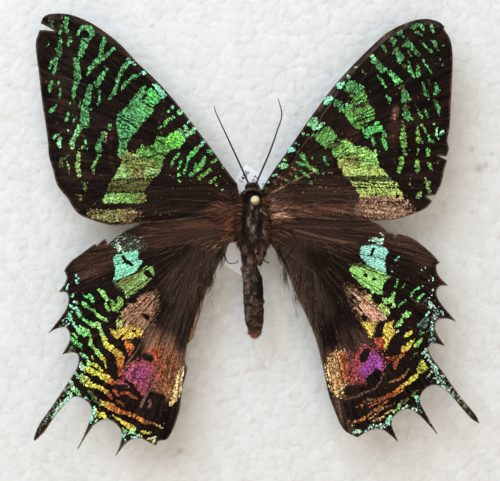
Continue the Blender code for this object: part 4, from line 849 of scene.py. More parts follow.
# For each wing: a colour, how softly it ends, and the lines it follows.
GROUND_TINTS = {
    "forewing_left": [
        ((30, 19, 13), 2.0, "-6,6 -13,8 -20,7 -27,5 /2.5; -10,12 -15,13 /2"),
        ((31, 21, 15), 1.5, "-37,35 -37,28 -36,20 -35,12 /2"),
        ((62, 42, 32), 0.3, "-4,4.5 -9,4.6 -16,4.4 -24,4.2 /.05 0 -.15 -.3; -4,5.4 -9,6.4 -16,7"
         " -21,7.6 /.05 0 -.15 -.3; -5,7 -9,9 -13,11.5 /.05 -.1 -.3"),
        ((70, 44, 34), 2.0, "-4,4 -8,4.4 -14,4 /.6 0 -2; -27.6,12.4 -28.4,16 -28,20 /-1.2"),
        ((46, 36, 30), 0.3, "-19.5,29.4 -23.5,33.3 -26.8,36.6"
         " -30.2,39.2 -33.5,41.1 -37,42.1 -40,42 /.2"),
    ],
    "forewing_right": [
        ((52, 35, 26), 2.4, "4,6 10,7.6 16,8 20,6 /1.8"), ((36, 25, 18), 2.0, "8,11 12,14 /2"),
        ((74, 49, 38), 2.0, "2.4,4.4 9,4.6 17,4.6 /.4 .3 .1"),
        ((96, 66, 56), 0.9, "27.2,24.2 26.8,22.6 /.1"),
        ((44, 26, 20), 1.2, "26.8,21 26.7,18 /.6; 19,19.2 /.8"),
        ((86, 59, 46), 1.8, "2.2,3.8 6,4 10,4.2 /.5 .2 0"),
        ((150, 116, 92), 0.18, "1.6,6.6 3,8 6.5,10 9.6,11.6 11.4,12.2 /.04"),
        ((96, 68, 54), 0.2, "2.4,4.6 7,5.4 12,5.9 18,5.9 /.03 0 -.06 -.2; 3,3.6 8,4 14,4.6"
         " /.03 -.04 -.2"),
        ((96, 70, 56), 1.4, "20.6,4.6 26,4.5 30,4.6 /.8 .9 .2"),
        ((54, 44, 38), 0.3, "12.2,24.2 18.1,31.5 25.2,38.3 30,40.7 33.4,41.2"
         " 35.6,40.5 /.2"),
        ((66, 51, 43), 0.14, "7,13.5 8.5,16.5 10,18.5 10.8,19 13,23.5 14,24.6 15.5,27.2 17,29.5"
         " 18.5,31 20,32.9 22,35 24,36.9 25,38 27,39.9 30,41.2 /.04"),
    ],
    "hindwing_left": [
        ((54, 36, 28), 3.0, "-7,1.5 -14,1.2 -20,-0.5 -24,-2 /1.6 1.4 1 0"),
        ((84, 57, 43), 2.2, "-4.6,1.8 -9,2.2 -14,2 /.4 .1 -1.2;"
         " -4.6,0.2 -9,-1 -13,-2 /.3 -.2 -1.4"),
        ((50, 33, 26), 1.5, "-28,-3.5 -33,-6.5 /2"),
        ((47, 35, 28), 2.5, "-7,-3 -11,-7 -14,-10 /3; -12,-12 -15,-18 /2"),
        ((34, 24, 18), 0.7, "-8.6,-7.5 -11.5,-14 -13.6,-20 /.25"),
        ((112, 86, 66), 0.35, "-10.5,-13.2 -11.9,-17.4 -12.9,-20.6 /.05 .15 .1"),
        ((24, 16, 13), 1.0, "-29,-17 -28.5,-19.5 -30,-22 -31.5,-25 /.4; -25.5,-28 -27.5,-31 /.5;"
         " -24,-31.5 -20,-31.5 -19,-34 -22,-34.4 /1; -28.5,-10 -27.5,-11.5 /.5"),
        ((66, 44, 33), 1.6, "-24,-17 -21,-19 -17,-21 /1"),
        ((104, 74, 56), 3.0, "-18.6,-22.4 -16.6,-25.6 -17,-29.6 /1.4 1.6 1"),
        ((140, 94, 64), 1.4, "-17,-25.6 -17.2,-29.8 /1 .8"),
        ((84, 62, 52), 0.16, "-21,-18.2 -23.4,-22.95 -25,-24.8 -26,-27.2 /.06"),
        ((130, 92, 88), 0.2, "-19.2,-26.9 -19.9,-28.8 -20.9,-30.5 -21.7,-31.9 -22.4,-33.6 /.06"),
    ],
    "hindwing_right": [
        ((46, 31, 24), 2.4, "5,1 12,0 18,-0.5 22,0.5 /2"),
        ((96, 66, 54), 0.25, "3,2 8,0.8 13,-0.6 18,-1.6 /.06"),
        ((52, 35, 27), 1.5, "25,0 29,-1.8 33,-4.5 /1.2"),
        ((44, 33, 26), 2.0, "6,-4 9,-9 12,-15 /2"),
        ((58, 44, 35), 1.2, "6.7,-8 9.3,-14 11.3,-19 12.4,-23 /.3"),
        ((50, 34, 27), 2.5, "18,-20 21,-21 23,-20.5 /.6; 19,-25.5 20,-28 /.8"),
        ((70, 50, 39), 2.8, "14.8,-24.2 16.8,-23.4 19,-23.4 /.2 .2 0; 15.8,-27 17,-29.6 /1"),
        ((22, 15, 12), 0.8, "17.5,-30.5 20.5,-30.2 /.6; 17,-34 22,-34 /.7; 24.4,-27.6 23,-29 /.5;"
         " 27,-27 25.5,-29.6 /.6; 24.3,-18.2 /.6"),
        ((72, 56, 44), 0.8, "15.4,-31.5 16.6,-35 18.8,-38.4 /.4"),
    ],
}

# %% Veins
VEIN_HALF_WIDTH = 0.14
VEINS = {
    "forewing_left": """-3.6,8 -11,16 -18,23.5 -21.5,26.5; -21.5,26.5 -31,36 -40.8,41.6; -21.8,25.8
        -32,33.5 -42.3,37; -23.5,24 -33,29 -42,31.8; -24.6,22.5 -33,25 -41.4,26.4; -24.6,20.5
        -33,21 -40.8,21.3; -24,18.8 -32,17.6 -40.3,16.5; -3.6,6.8 -13,12.6 -24,18.6; -18.8,15.6
        -30,13.2 -38.9,10.8; -15,13.4 -27,9.3 -36.3,6.7; -3.4,5.4 -14,5.9 -24,5.6 -33,3.6""",
    "forewing_right": """1.6,8 7.5,14 14,22 18,27; 18,27 26,35.5 35.6,40.6; 18.3,26.3 28,33.5
        37.7,37; 19.5,24.7 29,29.5 38,32.2; 20.5,23 29.5,25.8 37.9,27.2; 20.8,21 29.5,21.7
        37.5,21.6; 20.6,19.3 29.5,18.2 37,17.4; 1.7,7 7,9.3 12,12 20.4,19.2; 15.5,15 26,13.6
        36.3,12; 11.8,11.7 23.5,9.9 34.6,8.6; 2.1,5.2 8,5.2 12,6 22,6.4 32.8,6.1""",
    "hindwing_left": """-3.8,1.5 -14,1.4 -24,-0.8 -28.8,-1.8; -4,0.8 -17,-2.2 -28,-3.4 -34,-3.9;
        -14.5,-2.6 -26,-5.6 -37.2,-7.2; -15.6,-3.6 -26.5,-8.8 -38.2,-11.1; -16,-5 -26,-12
        -39.9,-18.8; -15.6,-6.5 -25,-15.6 -37.5,-23.2; -14.4,-7.6 -21,-18.2 -26,-27.4 -34.6,-41.5;
        -15.2,-7 -24.4,-18 -31.6,-27 -42.8,-39.6; -13,-7.6 -19.2,-26.9 -22.4,-33.6 -27.2,-42.7;
        -4.2,0 -9.8,-5 -13,-7.6; -8,-5 -13.5,-14 -17,-26 -19.6,-40.6; -6.6,-3.9 -11.6,-14 -14.5,-25
        -15.6,-36""",
    "hindwing_right": """2.5,1.5 13,1.4 23,0.5 27.3,-0.2; 2.6,0.8 15,-1.6 26,-1.6 34.8,-4.4;
        13,-2.4 24.5,-4.7 35.4,-7.4; 14,-3.4 25,-7.9 37,-9.9; 14.6,-4.8 24.5,-11 38.4,-16.6;
        14,-6.4 23.5,-14.6 36.5,-21.4; 13.4,-7 23,-17.6 31,-25.5 42.8,-36.2; 12.6,-7.4 20.4,-17.6
        26,-26.6 35,-38.6; 11.6,-7.6 18.3,-25.8 21.5,-33 27.6,-40.1; 2.6,-0.4 7.6,-4.6 11.6,-7.6;
        7,-5.4 12.6,-14 16.4,-26 19.4,-39; 5.4,-4 10.4,-14 13.4,-25 15.4,-34.4""",
}

# %% Painting the ground
def toward(paint, colour, amount):
    """Paint moved towards a colour, by an amount from 0 to 1 at each point."""
    return paint + (colour - paint) * amount[:, None]


def ground_at(wing, points, margin):
    """The ground's colour: each soft line is laid over those before it; the very edge is paler."""
    ground = np.tile(to_linear(GROUND_COLOUR), (len(points), 1))
    for colour, softness, text in GROUND_TINTS[wing]:
        for places, widths in read_lines(text):
            amount = np.clip(depth_in_line(points, places, widths) / softness + 1, 0, 1)
            ground = toward(ground, to_linear(colour), amount ** 2 * (3 - 2 * amount))
    worn = np.clip(1 - margin / WORN_WIDTH, 0, 1) * 0.5
    return toward(ground, to_linear(WORN_COLOUR), worn)


def vein_ridge(wing, points):
    """How near a vein is: 1 on it, falling to nothing over twice the vein's half width."""
    ridge = np.zeros(len(points))
    for line in VEINS[wing].split(";"):
        places = smooth_line(places_in(line), 5)
        away = -depth_in_line(points, places, np.zeros(len(places)))
        ridge = np.maximum(ridge, np.exp(-(away / VEIN_HALF_WIDTH) ** 2))
    return ridge

# %% [markdown]
# ## A wing as a sheet of small cells
#
# A real wing is a membrane a tenth of a millimetre thick, stiffened by veins and folded lightly
# between them like a fan.  It could be an outline, filled and thickened, but a filled outline has
# long thin faces that can't bend.  Here the height is a function of two parameters, X and Y, on a
# square grid.  Cells outside the outline are dropped, and the grid's rim is moved onto it.

# %% The height of the wings
ROOT_HEIGHT, RISE, SAG, TWIST, REACH = 31.3, 2.2, 1.2, 0.6, 40.0
SHEET_MIDDLE = 0.15
WING_DROP = {"forewing": 0.0, "hindwing": 0.45}
SHEET_THICKNESS = 0.1
CELL = 0.17
RAY_ROOTS = {"forewing": (8.0, 8.5), "hindwing": (-10.0, 1.0)}
RAY_RADIUS = 25
VEIN_LIFT, WAVE_LIFT = 0.045, 0.035
PLEAT_LIFT, PLEAT_WIDTH, PLEAT_REACH = 0.03, 3.1, 30


def sheet_height(kind, points):
    """The wings rise from the body, sag outward, and stand higher in front at the tip."""
    out = np.abs(points[:, 0] + 0.5) / REACH
    rise = ROOT_HEIGHT + RISE * out - SAG * out ** 2 + TWIST * out * points[:, 1] / REACH
    return rise + SHEET_MIDDLE - WING_DROP[kind]


def ray_places(kind, side, points):
    """Where a point lies in the fan of a wing: across its rays, and out along them."""
    root_x, root_y = RAY_ROOTS[kind]
    x, y = side * points[:, 0] + root_x, points[:, 1] - root_y
    angle = np.arctan2(y, x) if kind == "forewing" else np.arctan2(x, -y)
    return angle * RAY_RADIUS, np.hypot(x, y)


def wing_relief(points, ridge, across, along):
    """Veins stand up, the membrane is pleated between rays, and long soft waves cross it."""
    pleats = np.sin(across * 2 * np.pi / PLEAT_WIDTH) * np.clip(along / PLEAT_REACH, 0, 1)
    waves = np.sin(points[:, 0] * 0.55 + 0.8) * np.sin(points[:, 1] * 0.47 + points[:, 0] * 0.2)
    return VEIN_LIFT * ridge + PLEAT_LIFT * pleats + WAVE_LIFT * waves

# %% Building a sheet
def fill_corners(kept):
    """Where kept cells touch only at a corner, the two cells beside that corner are kept too."""
    low_left, low_right = kept[:-1, :-1], kept[:-1, 1:]
    high_left, high_right = kept[1:, :-1], kept[1:, 1:]
    crossed = ((low_left & high_right & ~low_right & ~high_left)
               | (low_right & high_left & ~low_left & ~high_right))
    for quarter in (low_left, high_right, low_right, high_left):
        quarter |= crossed


def sheet_of_cells(outline, cell):
    """Square cells whose middle is inside the outline, with their rim moved onto it.

    Gives the places, their distance from the rim, the cells' corners and the rim's edges.
    """
    low, high = outline.min(0) - 2 * cell, outline.max(0) + 2 * cell
    x, y = np.meshgrid(np.arange(low[0], high[0], cell), np.arange(low[1], high[1], cell))
    rows, columns = x.shape
    points = np.stack([x.ravel(), y.ravel()], 1)
    middles = np.stack([(x[:-1, :-1] + cell / 2).ravel(), (y[:-1, :-1] + cell / 2).ravel()], 1)
    kept = (depth_in_outline(middles, outline)[0] > 0).reshape(rows - 1, columns - 1)
    kept = np.pad(kept, 1)
    fill_corners(kept)
    fill_corners(kept)
    touching = (kept[:-1, :-1].astype(int) + kept[:-1, 1:] + kept[1:, :-1] + kept[1:, 1:]).ravel()
    used = touching > 0
    number = np.cumsum(used) - 1
    depth, nearest = depth_in_outline(points[used], outline)
    rim = touching[used] < 4
    places = np.where(rim[:, None], nearest, points[used])
    row, column = np.nonzero(kept[1:-1, 1:-1])
    at = row * columns + column
    corners = number[np.stack([at, at + 1, at + columns + 1, at + columns], 1)]
    edges = []
    for first, (step_row, step_column) in enumerate(((-1, 0), (0, 1), (1, 0), (0, -1))):
        outer = ~kept[row + 1 + step_row, column + 1 + step_column]
        edges.append(corners[outer][:, [first, (first + 1) % 4]])
    return places, np.maximum(depth, 0) * ~rim, corners, np.vstack(edges)


def two_sided(top, bottom, corners, edges):
    """A sheet's upper and lower points, joined by a strip round its rim."""
    count = len(top)
    rim = np.stack([edges[:, 1], edges[:, 0], edges[:, 0] + count, edges[:, 1] + count], 1)
    return np.vstack([top, bottom]), [corners, corners[:, ::-1] + count, rim]

# %% [markdown]
# ## The wings' finish
#
# Under a lens the ground is a mosaic of brown scales and each patch is a mosaic of bright ones,
# some of them dull.  The rows of scales follow the veins, so the cells are laid out in the wing's
# own fan of rays.  A cell's random number also shifts the patch's edge, which breaks it up scale by
# scale.

# %% The wing material
# How many scales, ribs and streaks there are to a step across and along the fan of rays.
SCALE_ROWS, RIB_ROWS, STREAK_ROWS = (5.8, 3.8, 1.0), (2.6, 0.14, 1.0), (0.8, 0.06, 1.0)
WARM_TINGE, COOL_TINGE, STRAY_SCALE = (255, 216, 168), (216, 252, 250), (150, 118, 92)


def build_wing_material():
    """Patch depth, broken up by the mosaic, chooses between bright scales and the ground.

    The patch's alpha says how broken it is: the more it is, the more of its scales are dull.
    """
    material, tree, shader = new_material("wing scales", Specular_IOR_Level=0.05)
    fan = attribute(tree, "fan", "Vector")
    scales = mosaic(tree, stretched(tree, fan, SCALE_ROWS), 0.12, 0.25)
    ribs = noise(tree, stretched(tree, fan, RIB_ROWS), 3.0, Roughness=0.6)
    broad = noise(tree, stretched(tree, fan, STREAK_ROWS), Roughness=0.7)
    drift = noise(tree, object_places(tree, 2.2))
    random, second = scales.outputs["Random"], scales.outputs["Second"]
    patch = add_node(tree, "Attribute", attribute_name="patch")
    hue, broken = patch.outputs["Color"], patch.outputs["Alpha"]
    vein = add_node(tree, "SeparateXYZ", {0: fan}).outputs[2]
    depth = maths(tree, "MINIMUM", attribute(tree, "depth"),
                  maths(tree, "MULTIPLY_ADD", vein, -0.48, 0.28))
    edge = maths(tree, "ADD", depth, maths(tree, "MULTIPLY_ADD", random, 0.3, -0.15))
    edge = maths(tree, "ADD", edge, maths(tree, "MULTIPLY_ADD", drift, 0.3, -0.15))
    mask = remap(tree, edge, 0.0, 0.07)
    above_dull = maths(tree, "SUBTRACT", second, maths(tree, "MULTIPLY", broken, 0.52))
    dull = remap(tree, broken, 0.9, 1.1, 0.3, 0.06)
    shade = maths(tree, "MULTIPLY_ADD", remap(tree, above_dull, -0.1, 0.1),
                  maths(tree, "SUBTRACT", 1.06, dull), dull)
    shade = maths(tree, "MULTIPLY", shade, remap(tree, ribs, 0.36, 0.62, 0.5, 1.25))
    shade = maths(tree, "MULTIPLY", shade, remap(tree, random, 0.0, 1.0, 0.35, 1.95))
    tinge = blend_colours(tree, second, WARM_TINGE, COOL_TINGE)
    bright = scaled(tree, blend_colours(tree, 1.0, hue, tinge, "MULTIPLY"), shade)
    shade = maths(tree, "MULTIPLY", remap(tree, random, 0.0, 1.0, 0.5, 1.5),
                  remap(tree, ribs, 0.36, 0.64, 0.4, 1.9))
    shade = maths(tree, "MULTIPLY", shade, remap(tree, broad, 0.36, 0.64, 0.55, 1.6))
    ground = scaled(tree, attribute(tree, "ground", "Color"), shade)
    stray = remap(tree, second, 0.994, 0.997, 0.0, 0.5)
    ground = blend_colours(tree, stray, ground, STRAY_SCALE)
    link_to(tree, shader, Base_Color=blend_colours(tree, mask, ground, bright),
            Roughness=remap(tree, mask, 0.0, 1.0, 0.62, 0.42),
            Metallic=remap(tree, mask, 0.0, 1.0, 0.0, 0.2),
            Normal=bumped(tree, ribs, 0.35, 0.08, Normal=scales.outputs["Normal"]))
    return material


WING = build_wing_material()

# %% Painting the patches
# How a soft patch thins out, how ragged the edges between patches are, and how far round a shape
# its depth is worked out.
SOFTNESS, SOFT_SPREAD = 0.2, 0.9
JITTER = 0.25
LOOK_ROUND = 2.2


def paint_patches(wing, points, lines, patches):
    """Each patch covers those before it; a soft one, marked ~, thins out slowly at its edge.

    Gives the depth, the paint, and the depth in the spots that are bare.
    """
    jitter = np.random.default_rng(5).uniform(-JITTER, JITTER, len(points))
    depth = np.full(len(points), -1.5)
    paint = glow_at(wing, points)
    glow = paint.copy()
    bare = np.full(len(points), -9.0)
    shapes = [(name, places_in(text), None) for name, texts in patches.items()
              for text in texts.split(";")]
    shapes += [(name, places, widths) for name, text in lines.items()
               for places, widths in read_lines(text)]
    for name, places, widths in shapes:
        near = np.flatnonzero(((points > places.min(0) - LOOK_ROUND)
                               & (points < places.max(0) + LOOK_ROUND)).all(1))
        if widths is None:
            found = depth_in_outline(points[near], places)[0]
        else:
            found = depth_in_line(points[near], places, widths)
        if name == "bare":
            bare[near] = np.maximum(bare[near], found)
            continue
        if name.endswith("~"):
            cover, found = np.clip(found / SOFT_SPREAD + 0.35, 0, 1), found * SOFTNESS
            cover = np.where((depth[near] < 0) & (found > depth[near]), 1.0, cover)
        else:
            cover = ((found > depth[near]) | (found + jitter[near] > 0)).astype(float)
        depth[near] = np.maximum(depth[near], found)
        name = name.strip("~")
        new = glow[near] if name == "glow" else scale_paint(name)
        paint[near] = toward(paint[near], new, cover)
    return np.minimum(depth, -2 * bare), paint, bare

# %% The four wings
def build_wing(wing, strokes, lines, patches):
    """One wing: its sheet, its relief and its paint.  Gives its outline."""
    kind, side_name = wing.split("_")
    side = -1 if side_name == "left" else 1
    outline = wing_outline(strokes, side)
    places, margin, corners, edges = sheet_of_cells(outline, CELL)
    depth, paint, bare = paint_patches(wing, places, lines, patches)
    ridge = vein_ridge(wing, places)
    across, along = ray_places(kind, side, places)
    height = sheet_height(kind, places) + wing_relief(places, ridge, across, along)
    ground = ground_at(wing, places, margin)
    pale_veins = ridge * (0.1 + 0.45 * np.clip(1 - along / 16, 0, 1))
    ground = toward(ground, to_linear((84, 62, 50)), pale_veins)
    ground = toward(ground, to_linear((20, 13, 10)), np.clip(0.5 + bare / 0.3, 0, 1))
    points, faces = two_sided(np.column_stack([places, height + SHEET_THICKNESS / 2]),
                              np.column_stack([places, height - SHEET_THICKNESS / 2]),
                              corners, edges)
    twice = [np.concatenate([values] * 2) for values in (
        depth, paint, np.column_stack([ground, margin]), np.column_stack([across, along, ridge]))]
    make_piece(wing + "_scales", points, faces, WING, "wing", [wing],
               depth=twice[0], patch=twice[1], ground=twice[2], fan=twice[3])
    return outline


WINGS = {
    "forewing_left": (LEFT_FOREWING, LEFT_FOREWING_LINES, LEFT_FOREWING_PATCHES),
    "forewing_right": (RIGHT_FOREWING, RIGHT_FOREWING_LINES, RIGHT_FOREWING_PATCHES),
    "hindwing_left": (LEFT_HINDWING, LEFT_HINDWING_LINES, LEFT_HINDWING_PATCHES),
    "hindwing_right": (RIGHT_HINDWING, RIGHT_HINDWING_LINES, RIGHT_HINDWING_PATCHES),
}
OUTLINES = {wing: build_wing(wing, *drawn) for wing, drawn in WINGS.items()}

# %% [markdown]
# ## Hair
#
# Scales along the wings' edges, the thorax's fur and the abdomen's down are all hair of one kind:
# thin, tapered and bent.  Blender's hair curves would render well, but a library part is kept as
# meshes.  Here one hair is a three-sided spike of ten triangles, and thousands are made at once
# from arrays of roots, directions and lengths.

# %% Growing hairs
def grow_hairs(roots, ways, lengths, width, tints, bend=(0, 0, 0)):
    """Each middle line is root + way t + bend t squared, and the width shrinks to a point."""
    count = len(roots)
    ways = unit(ways)
    bend = np.broadcast_to(bend, (count, 3))
    across = unit(np.cross(ways, (0.31, 0.17, 0.94)))
    over = np.cross(ways, across)
    steps = np.array([0.0, 0.5])[None, :, None, None]
    angle = (2 * np.pi * np.arange(3) / 3)[None, None, :, None]
    spoke = across[:, None, None] * np.cos(angle) + over[:, None, None] * np.sin(angle)
    length = lengths[:, None, None, None]
    middle = (roots[:, None, None] + ways[:, None, None] * length * steps
              + bend[:, None, None] * length * steps ** 2)
    rings = middle + spoke * width * (1 - 0.45 * steps)
    tips = roots + (ways + bend) * lengths[:, None]
    points = np.concatenate([rings.reshape(count, 6, 3), tips[:, None]], 1).reshape(-1, 3)
    start = (np.arange(count) * 7)[:, None, None]
    quads = start + np.array([(0, 1, 4, 3), (1, 2, 5, 4), (2, 0, 3, 5)])
    triangles = start + np.array([(0, 2, 1), (3, 4, 6), (4, 5, 6), (5, 3, 6)])
    return points, [quads.reshape(-1, 4), triangles.reshape(-1, 3)], np.repeat(tints, 7, axis=0)

# %% Hair as pieces, and its colours
def build_hair_material():
    """Each hair's own colour, a little lighter or darker along it."""
    material, tree, shader = new_material("hair", Roughness=0.65, Specular_IOR_Level=0.08)
    shade = remap(tree, noise(tree, object_places(tree, 3.0)), 0.3, 0.7, 0.7, 1.3)
    link_to(tree, shader, Base_Color=scaled(tree, attribute(tree, "tint", "Color"), shade))
    return material


HAIR = build_hair_material()


def hair_piece(name, hairs, slot):
    """Several growths of hair as one piece."""
    points, faces = joined([hair[:2] for hair in hairs])
    tints = np.vstack([hair[2] for hair in hairs])
    make_piece(name, points, faces, HAIR, slot, tint=np.column_stack([tints, np.ones(len(tints))]))


def clumps(points, rng, size):
    """Four random numbers for each point, alike for those that share a small square."""
    table = rng.random((97, 89, 4))
    blurred = points[:, :2] + rng.normal(0, 0.25 * size, (len(points), 2))
    cell = np.floor(blurred / size).astype(int)
    return table[cell[:, 0] % 97, cell[:, 1] % 89]


def varied(rng, colour, count, spread):
    """One colour a hair, each brighter or darker by up to the spread."""
    return to_linear(colour)[None] * (1 + rng.uniform(-spread, spread, (count, 1)))

# %% [markdown]
# ## The fringes
#
# A moth's wing ends in a fringe of hair scales, worn short here.  It is brown along the forewings
# and pale between the hindwings' tails.  The outline is walked at even steps, and each hair leans
# outwards from it.

# %% Fringes round the wings
FRINGE_STEP = 0.085
FRINGE_WIDTH = 0.045


def walk(outline, step):
    """Places at even steps along a closed outline, with the outward direction at each."""
    ends = np.vstack([outline, outline[:1]])
    reach = reach_along(ends)
    at = np.arange(0, reach[-1], step)
    places = np.stack([np.interp(at, reach, column) for column in ends.T], 1)
    along = unit(np.roll(places, -1, axis=0) - np.roll(places, 1, axis=0))
    turning = np.sign(np.sum(outline[:, 0] * np.roll(outline[:, 1], -1)
                             - outline[:, 1] * np.roll(outline[:, 0], -1)))
    return places, np.stack([along[:, 1], -along[:, 0]], 1) * turning


def on_wing(kind, places):
    """Points on a wing's middle sheet over the places."""
    return np.column_stack([places, sheet_height(kind, places)])


FRINGE_PALE = {"forewing": (142, 114, 92), "hindwing": (214, 204, 190)}
FRINGE_DULL, FRINGE_FRONT, FRINGE_INNER = (96, 72, 56), (84, 70, 60), (118, 92, 74)
# How far out from the body a wing's edge is free, and how far forward its front edge starts.
FREE_FROM, FRONT_FROM = {"forewing": 12, "hindwing": 8}, {"forewing": 8, "hindwing": -4}
INNER_END = 14


def build_fringe(wing, seed):
    """Short hairs round the free edges, their tips just past the outline."""
    rng = np.random.default_rng(seed)
    kind = wing.split("_")[0]
    hindwing = kind == "hindwing"
    places, outward = walk(OUTLINES[wing], FRINGE_STEP)
    x, y = np.abs(places[:, 0] + 0.5), places[:, 1]
    front = (outward[:, 1] > 0.35) & (y > FRONT_FROM[kind])
    keep = (x > FREE_FROM[kind]) & (rng.random(len(places)) > np.where(front, 0.75, 0.08))
    places, outward, x, front = (part[keep] for part in (places, outward, x, front))
    count = len(places)
    length = np.where(front, 0.18, 0.42) * rng.uniform(0.6, 1.25, count)
    if hindwing:
        length *= np.where(x < INNER_END, 1.5, 0.8)
    share = (rng.random(count) < (0.45 if hindwing else 0.6))[:, None]
    tints = np.where(share, to_linear(FRINGE_PALE[kind]), to_linear(FRINGE_DULL))
    tints = tints * rng.uniform(0.6, 1.15, (count, 1))
    tints = np.where(front[:, None], to_linear(FRINGE_FRONT), tints)
    tints = np.where((hindwing & (x < INNER_END))[:, None], to_linear(FRINGE_INNER), tints)
    lean = rng.normal(0, 0.28, count)
    way = outward + np.stack([-outward[:, 1], outward[:, 0]], 1) * lean[:, None]
    roots = on_wing(kind, places - outward * (0.55 * length)[:, None])
    ways = np.column_stack([way, rng.normal(0, 0.12, count)])
    return grow_hairs(roots, ways, length, FRINGE_WIDTH, tints)


for number, wing in enumerate(OUTLINES):
    hair_piece(wing + "_fringe", [build_fringe(wing, 20 + number)], "wing")

# %% [markdown]
# ## Tufts at the wings' roots
#
# Long rusty hairs grow over the roots of the wings, and loose strands lie along the inner edges of
# the hindwings.  Each tuft is a place, a direction in the plane, a length and a colour, and its
# hairs are scattered round them.

# %% Tufts of long hair
FOREWING_REAR = 1.2
TUFT_WIDTH = 0.035
# Middle x, y; spread along x, y; direction in degrees; length; how many; colour.
TUFTS = [
    (4.0, 5.1, 1.8, 0.35, 8, 2.0, 120, (200, 154, 126)),
    (4.2, 3.6, 1.9, 0.4, 4, 2.1, 170, (218, 174, 144)),
    (3.3, 7.0, 0.8, 1.3, 70, 0.6, 70, (206, 172, 154)),
    (4.6, 5.9, 1.7, 0.5, 8, 2.0, 130, (140, 104, 84)),
    (4.6, 2.9, 1.8, 0.4, -4, 2.0, 130, (120, 86, 68)),
    (3.3, 2.4, 0.8, 0.6, -15, 1.5, 110, (120, 76, 58)),
    (2.4, 7.4, 0.6, 1.0, 48, 1.5, 120, (112, 78, 62)),
    (5.4, 9.4, 2.0, 1.6, 42, 1.6, 130, (96, 68, 52)),
    (7.0, 4.6, 2.6, 1.0, 2, 2.0, 160, (92, 62, 48)),
    (5.0, 1.0, 1.8, 1.0, -25, 2.0, 140, (96, 66, 52)),
    (-4.6, 1.8, 0.8, 1.5, 190, 1.9, 200, (132, 80, 58)),
    (-6.0, 5.5, 1.2, 0.5, 170, 1.9, 130, (126, 84, 66)),
    (-5.0, 7.5, 1.0, 1.0, 140, 1.5, 90, (80, 56, 44)),
    (-7.2, 3.4, 2.2, 1.4, 184, 2.2, 180, (98, 64, 50)),
    (-5.2, -0.2, 1.0, 0.7, 215, 2.2, 140, (120, 80, 60)),
    (2.9, -0.6, 0.8, 0.8, -40, 1.9, 120, (96, 66, 50)),
    (-8.0, -1.6, 2.0, 0.6, 214, 2.6, 90, (128, 94, 72)),
    (-6.3, -3.4, 0.5, 1.8, 244, 2.2, 80, (70, 52, 42)),
    (-8.6, -8.0, 0.6, 2.6, 252, 2.2, 80, (72, 56, 46)),
    (4.4, -3.4, 0.4, 1.6, -64, 2.2, 70, (60, 44, 36)),
    (5.6, -6.6, 0.5, 2.4, -80, 2.4, 60, (56, 42, 34)),
    (7.6, -10.6, 0.6, 3.4, -76, 2.0, 60, (84, 66, 54)),
]


def build_tufts(kind, seed):
    """The tufts that lie on the forewings, or on the hindwings."""
    rng = np.random.default_rng(seed)
    grown = []
    for x, y, spread_x, spread_y, turn, length, count, colour in TUFTS:
        if (y < FOREWING_REAR) != (kind == "hindwing"):
            continue
        places = np.column_stack([rng.normal(x, spread_x * 0.55, count),
                                  rng.normal(y, spread_y * 0.55, count)])
        angle = np.radians(turn) + rng.normal(0, 0.22, count)
        roots = on_wing(kind, places) + (0, 0, 0.03)
        ways = np.column_stack([np.cos(angle), np.sin(angle), rng.uniform(0.03, 0.16, count)])
        bend = np.column_stack([rng.normal(0, 0.1, (count, 2)), np.full(count, -0.04)])
        bright = np.where(rng.random((count, 1)) < 0.22, 2.4, 0.35)
        lengths = length * rng.uniform(0.6, 1.3, count)
        tints = varied(rng, colour, count, 0.4) * bright
        grown.append(grow_hairs(roots, ways, lengths, TUFT_WIDTH, tints, bend))
    return grown


hair_piece("forewing_root_tufts", build_tufts("forewing", 31), "body")
hair_piece("hindwing_root_tufts", build_tufts("hindwing", 32), "body")

# %% [markdown]
# ## The body
#
# The thorax is a keg of muscle under dense fur, and the abdomen is a row of overlapping rings.
# Each is an oval carried along Y, its size following a smooth profile.  Fur then grows from it,
# laid back towards the tail, and it is the fur that gives the outline.

# %% Oval forms along Y
BODY_SIDES = 40
END_BULGE = 0.25


def oval_form(rings, spans):
    """Ovals across Y that follow a smooth line through the rings, closed by a point at each end."""
    fine = smooth_line(rings, spans)
    y, middle_x, half_width, middle_z, half_height = fine.T
    angle = 2 * np.pi * np.arange(BODY_SIDES) / BODY_SIDES
    around = np.stack([middle_x[:, None] + half_width[:, None] * np.cos(angle),
                       np.repeat(y[:, None], BODY_SIDES, 1),
                       middle_z[:, None] + half_height[:, None] * np.sin(angle)], 2)
    ends = [(middle_x[end], y[end] + END_BULGE * np.sign(y[end] - y[inside]) * half_width[end],
             middle_z[end]) for end, inside in ((0, 1), (-1, -2))]
    return *closed_rings(around, ends), fine


def places_on(fine, count, rng):
    """Random points on an oval form, and the outward direction at each."""
    share = np.cumsum(fine[:, 2] + fine[:, 4])
    at = np.interp(rng.random(count) * share[-1], share, np.arange(len(fine)))
    y, middle_x, half_width, middle_z, half_height = (
        np.interp(at, np.arange(len(fine)), column) for column in fine.T)
    angle = rng.uniform(0, 2 * np.pi, count)
    cosine, sine = np.cos(angle), np.sin(angle)
    points = np.stack([middle_x + half_width * cosine, y, middle_z + half_height * sine], 1)
    return points, unit(np.stack([cosine / half_width, np.zeros(count), sine / half_height], 1))


def shrunk(rings, amount):
    """The rings with their half sizes made smaller, to leave room for hair."""
    smaller = np.array(rings, float)
    smaller[:, [2, 4]] = np.maximum(smaller[:, [2, 4]] - amount, 0.1)
    return smaller

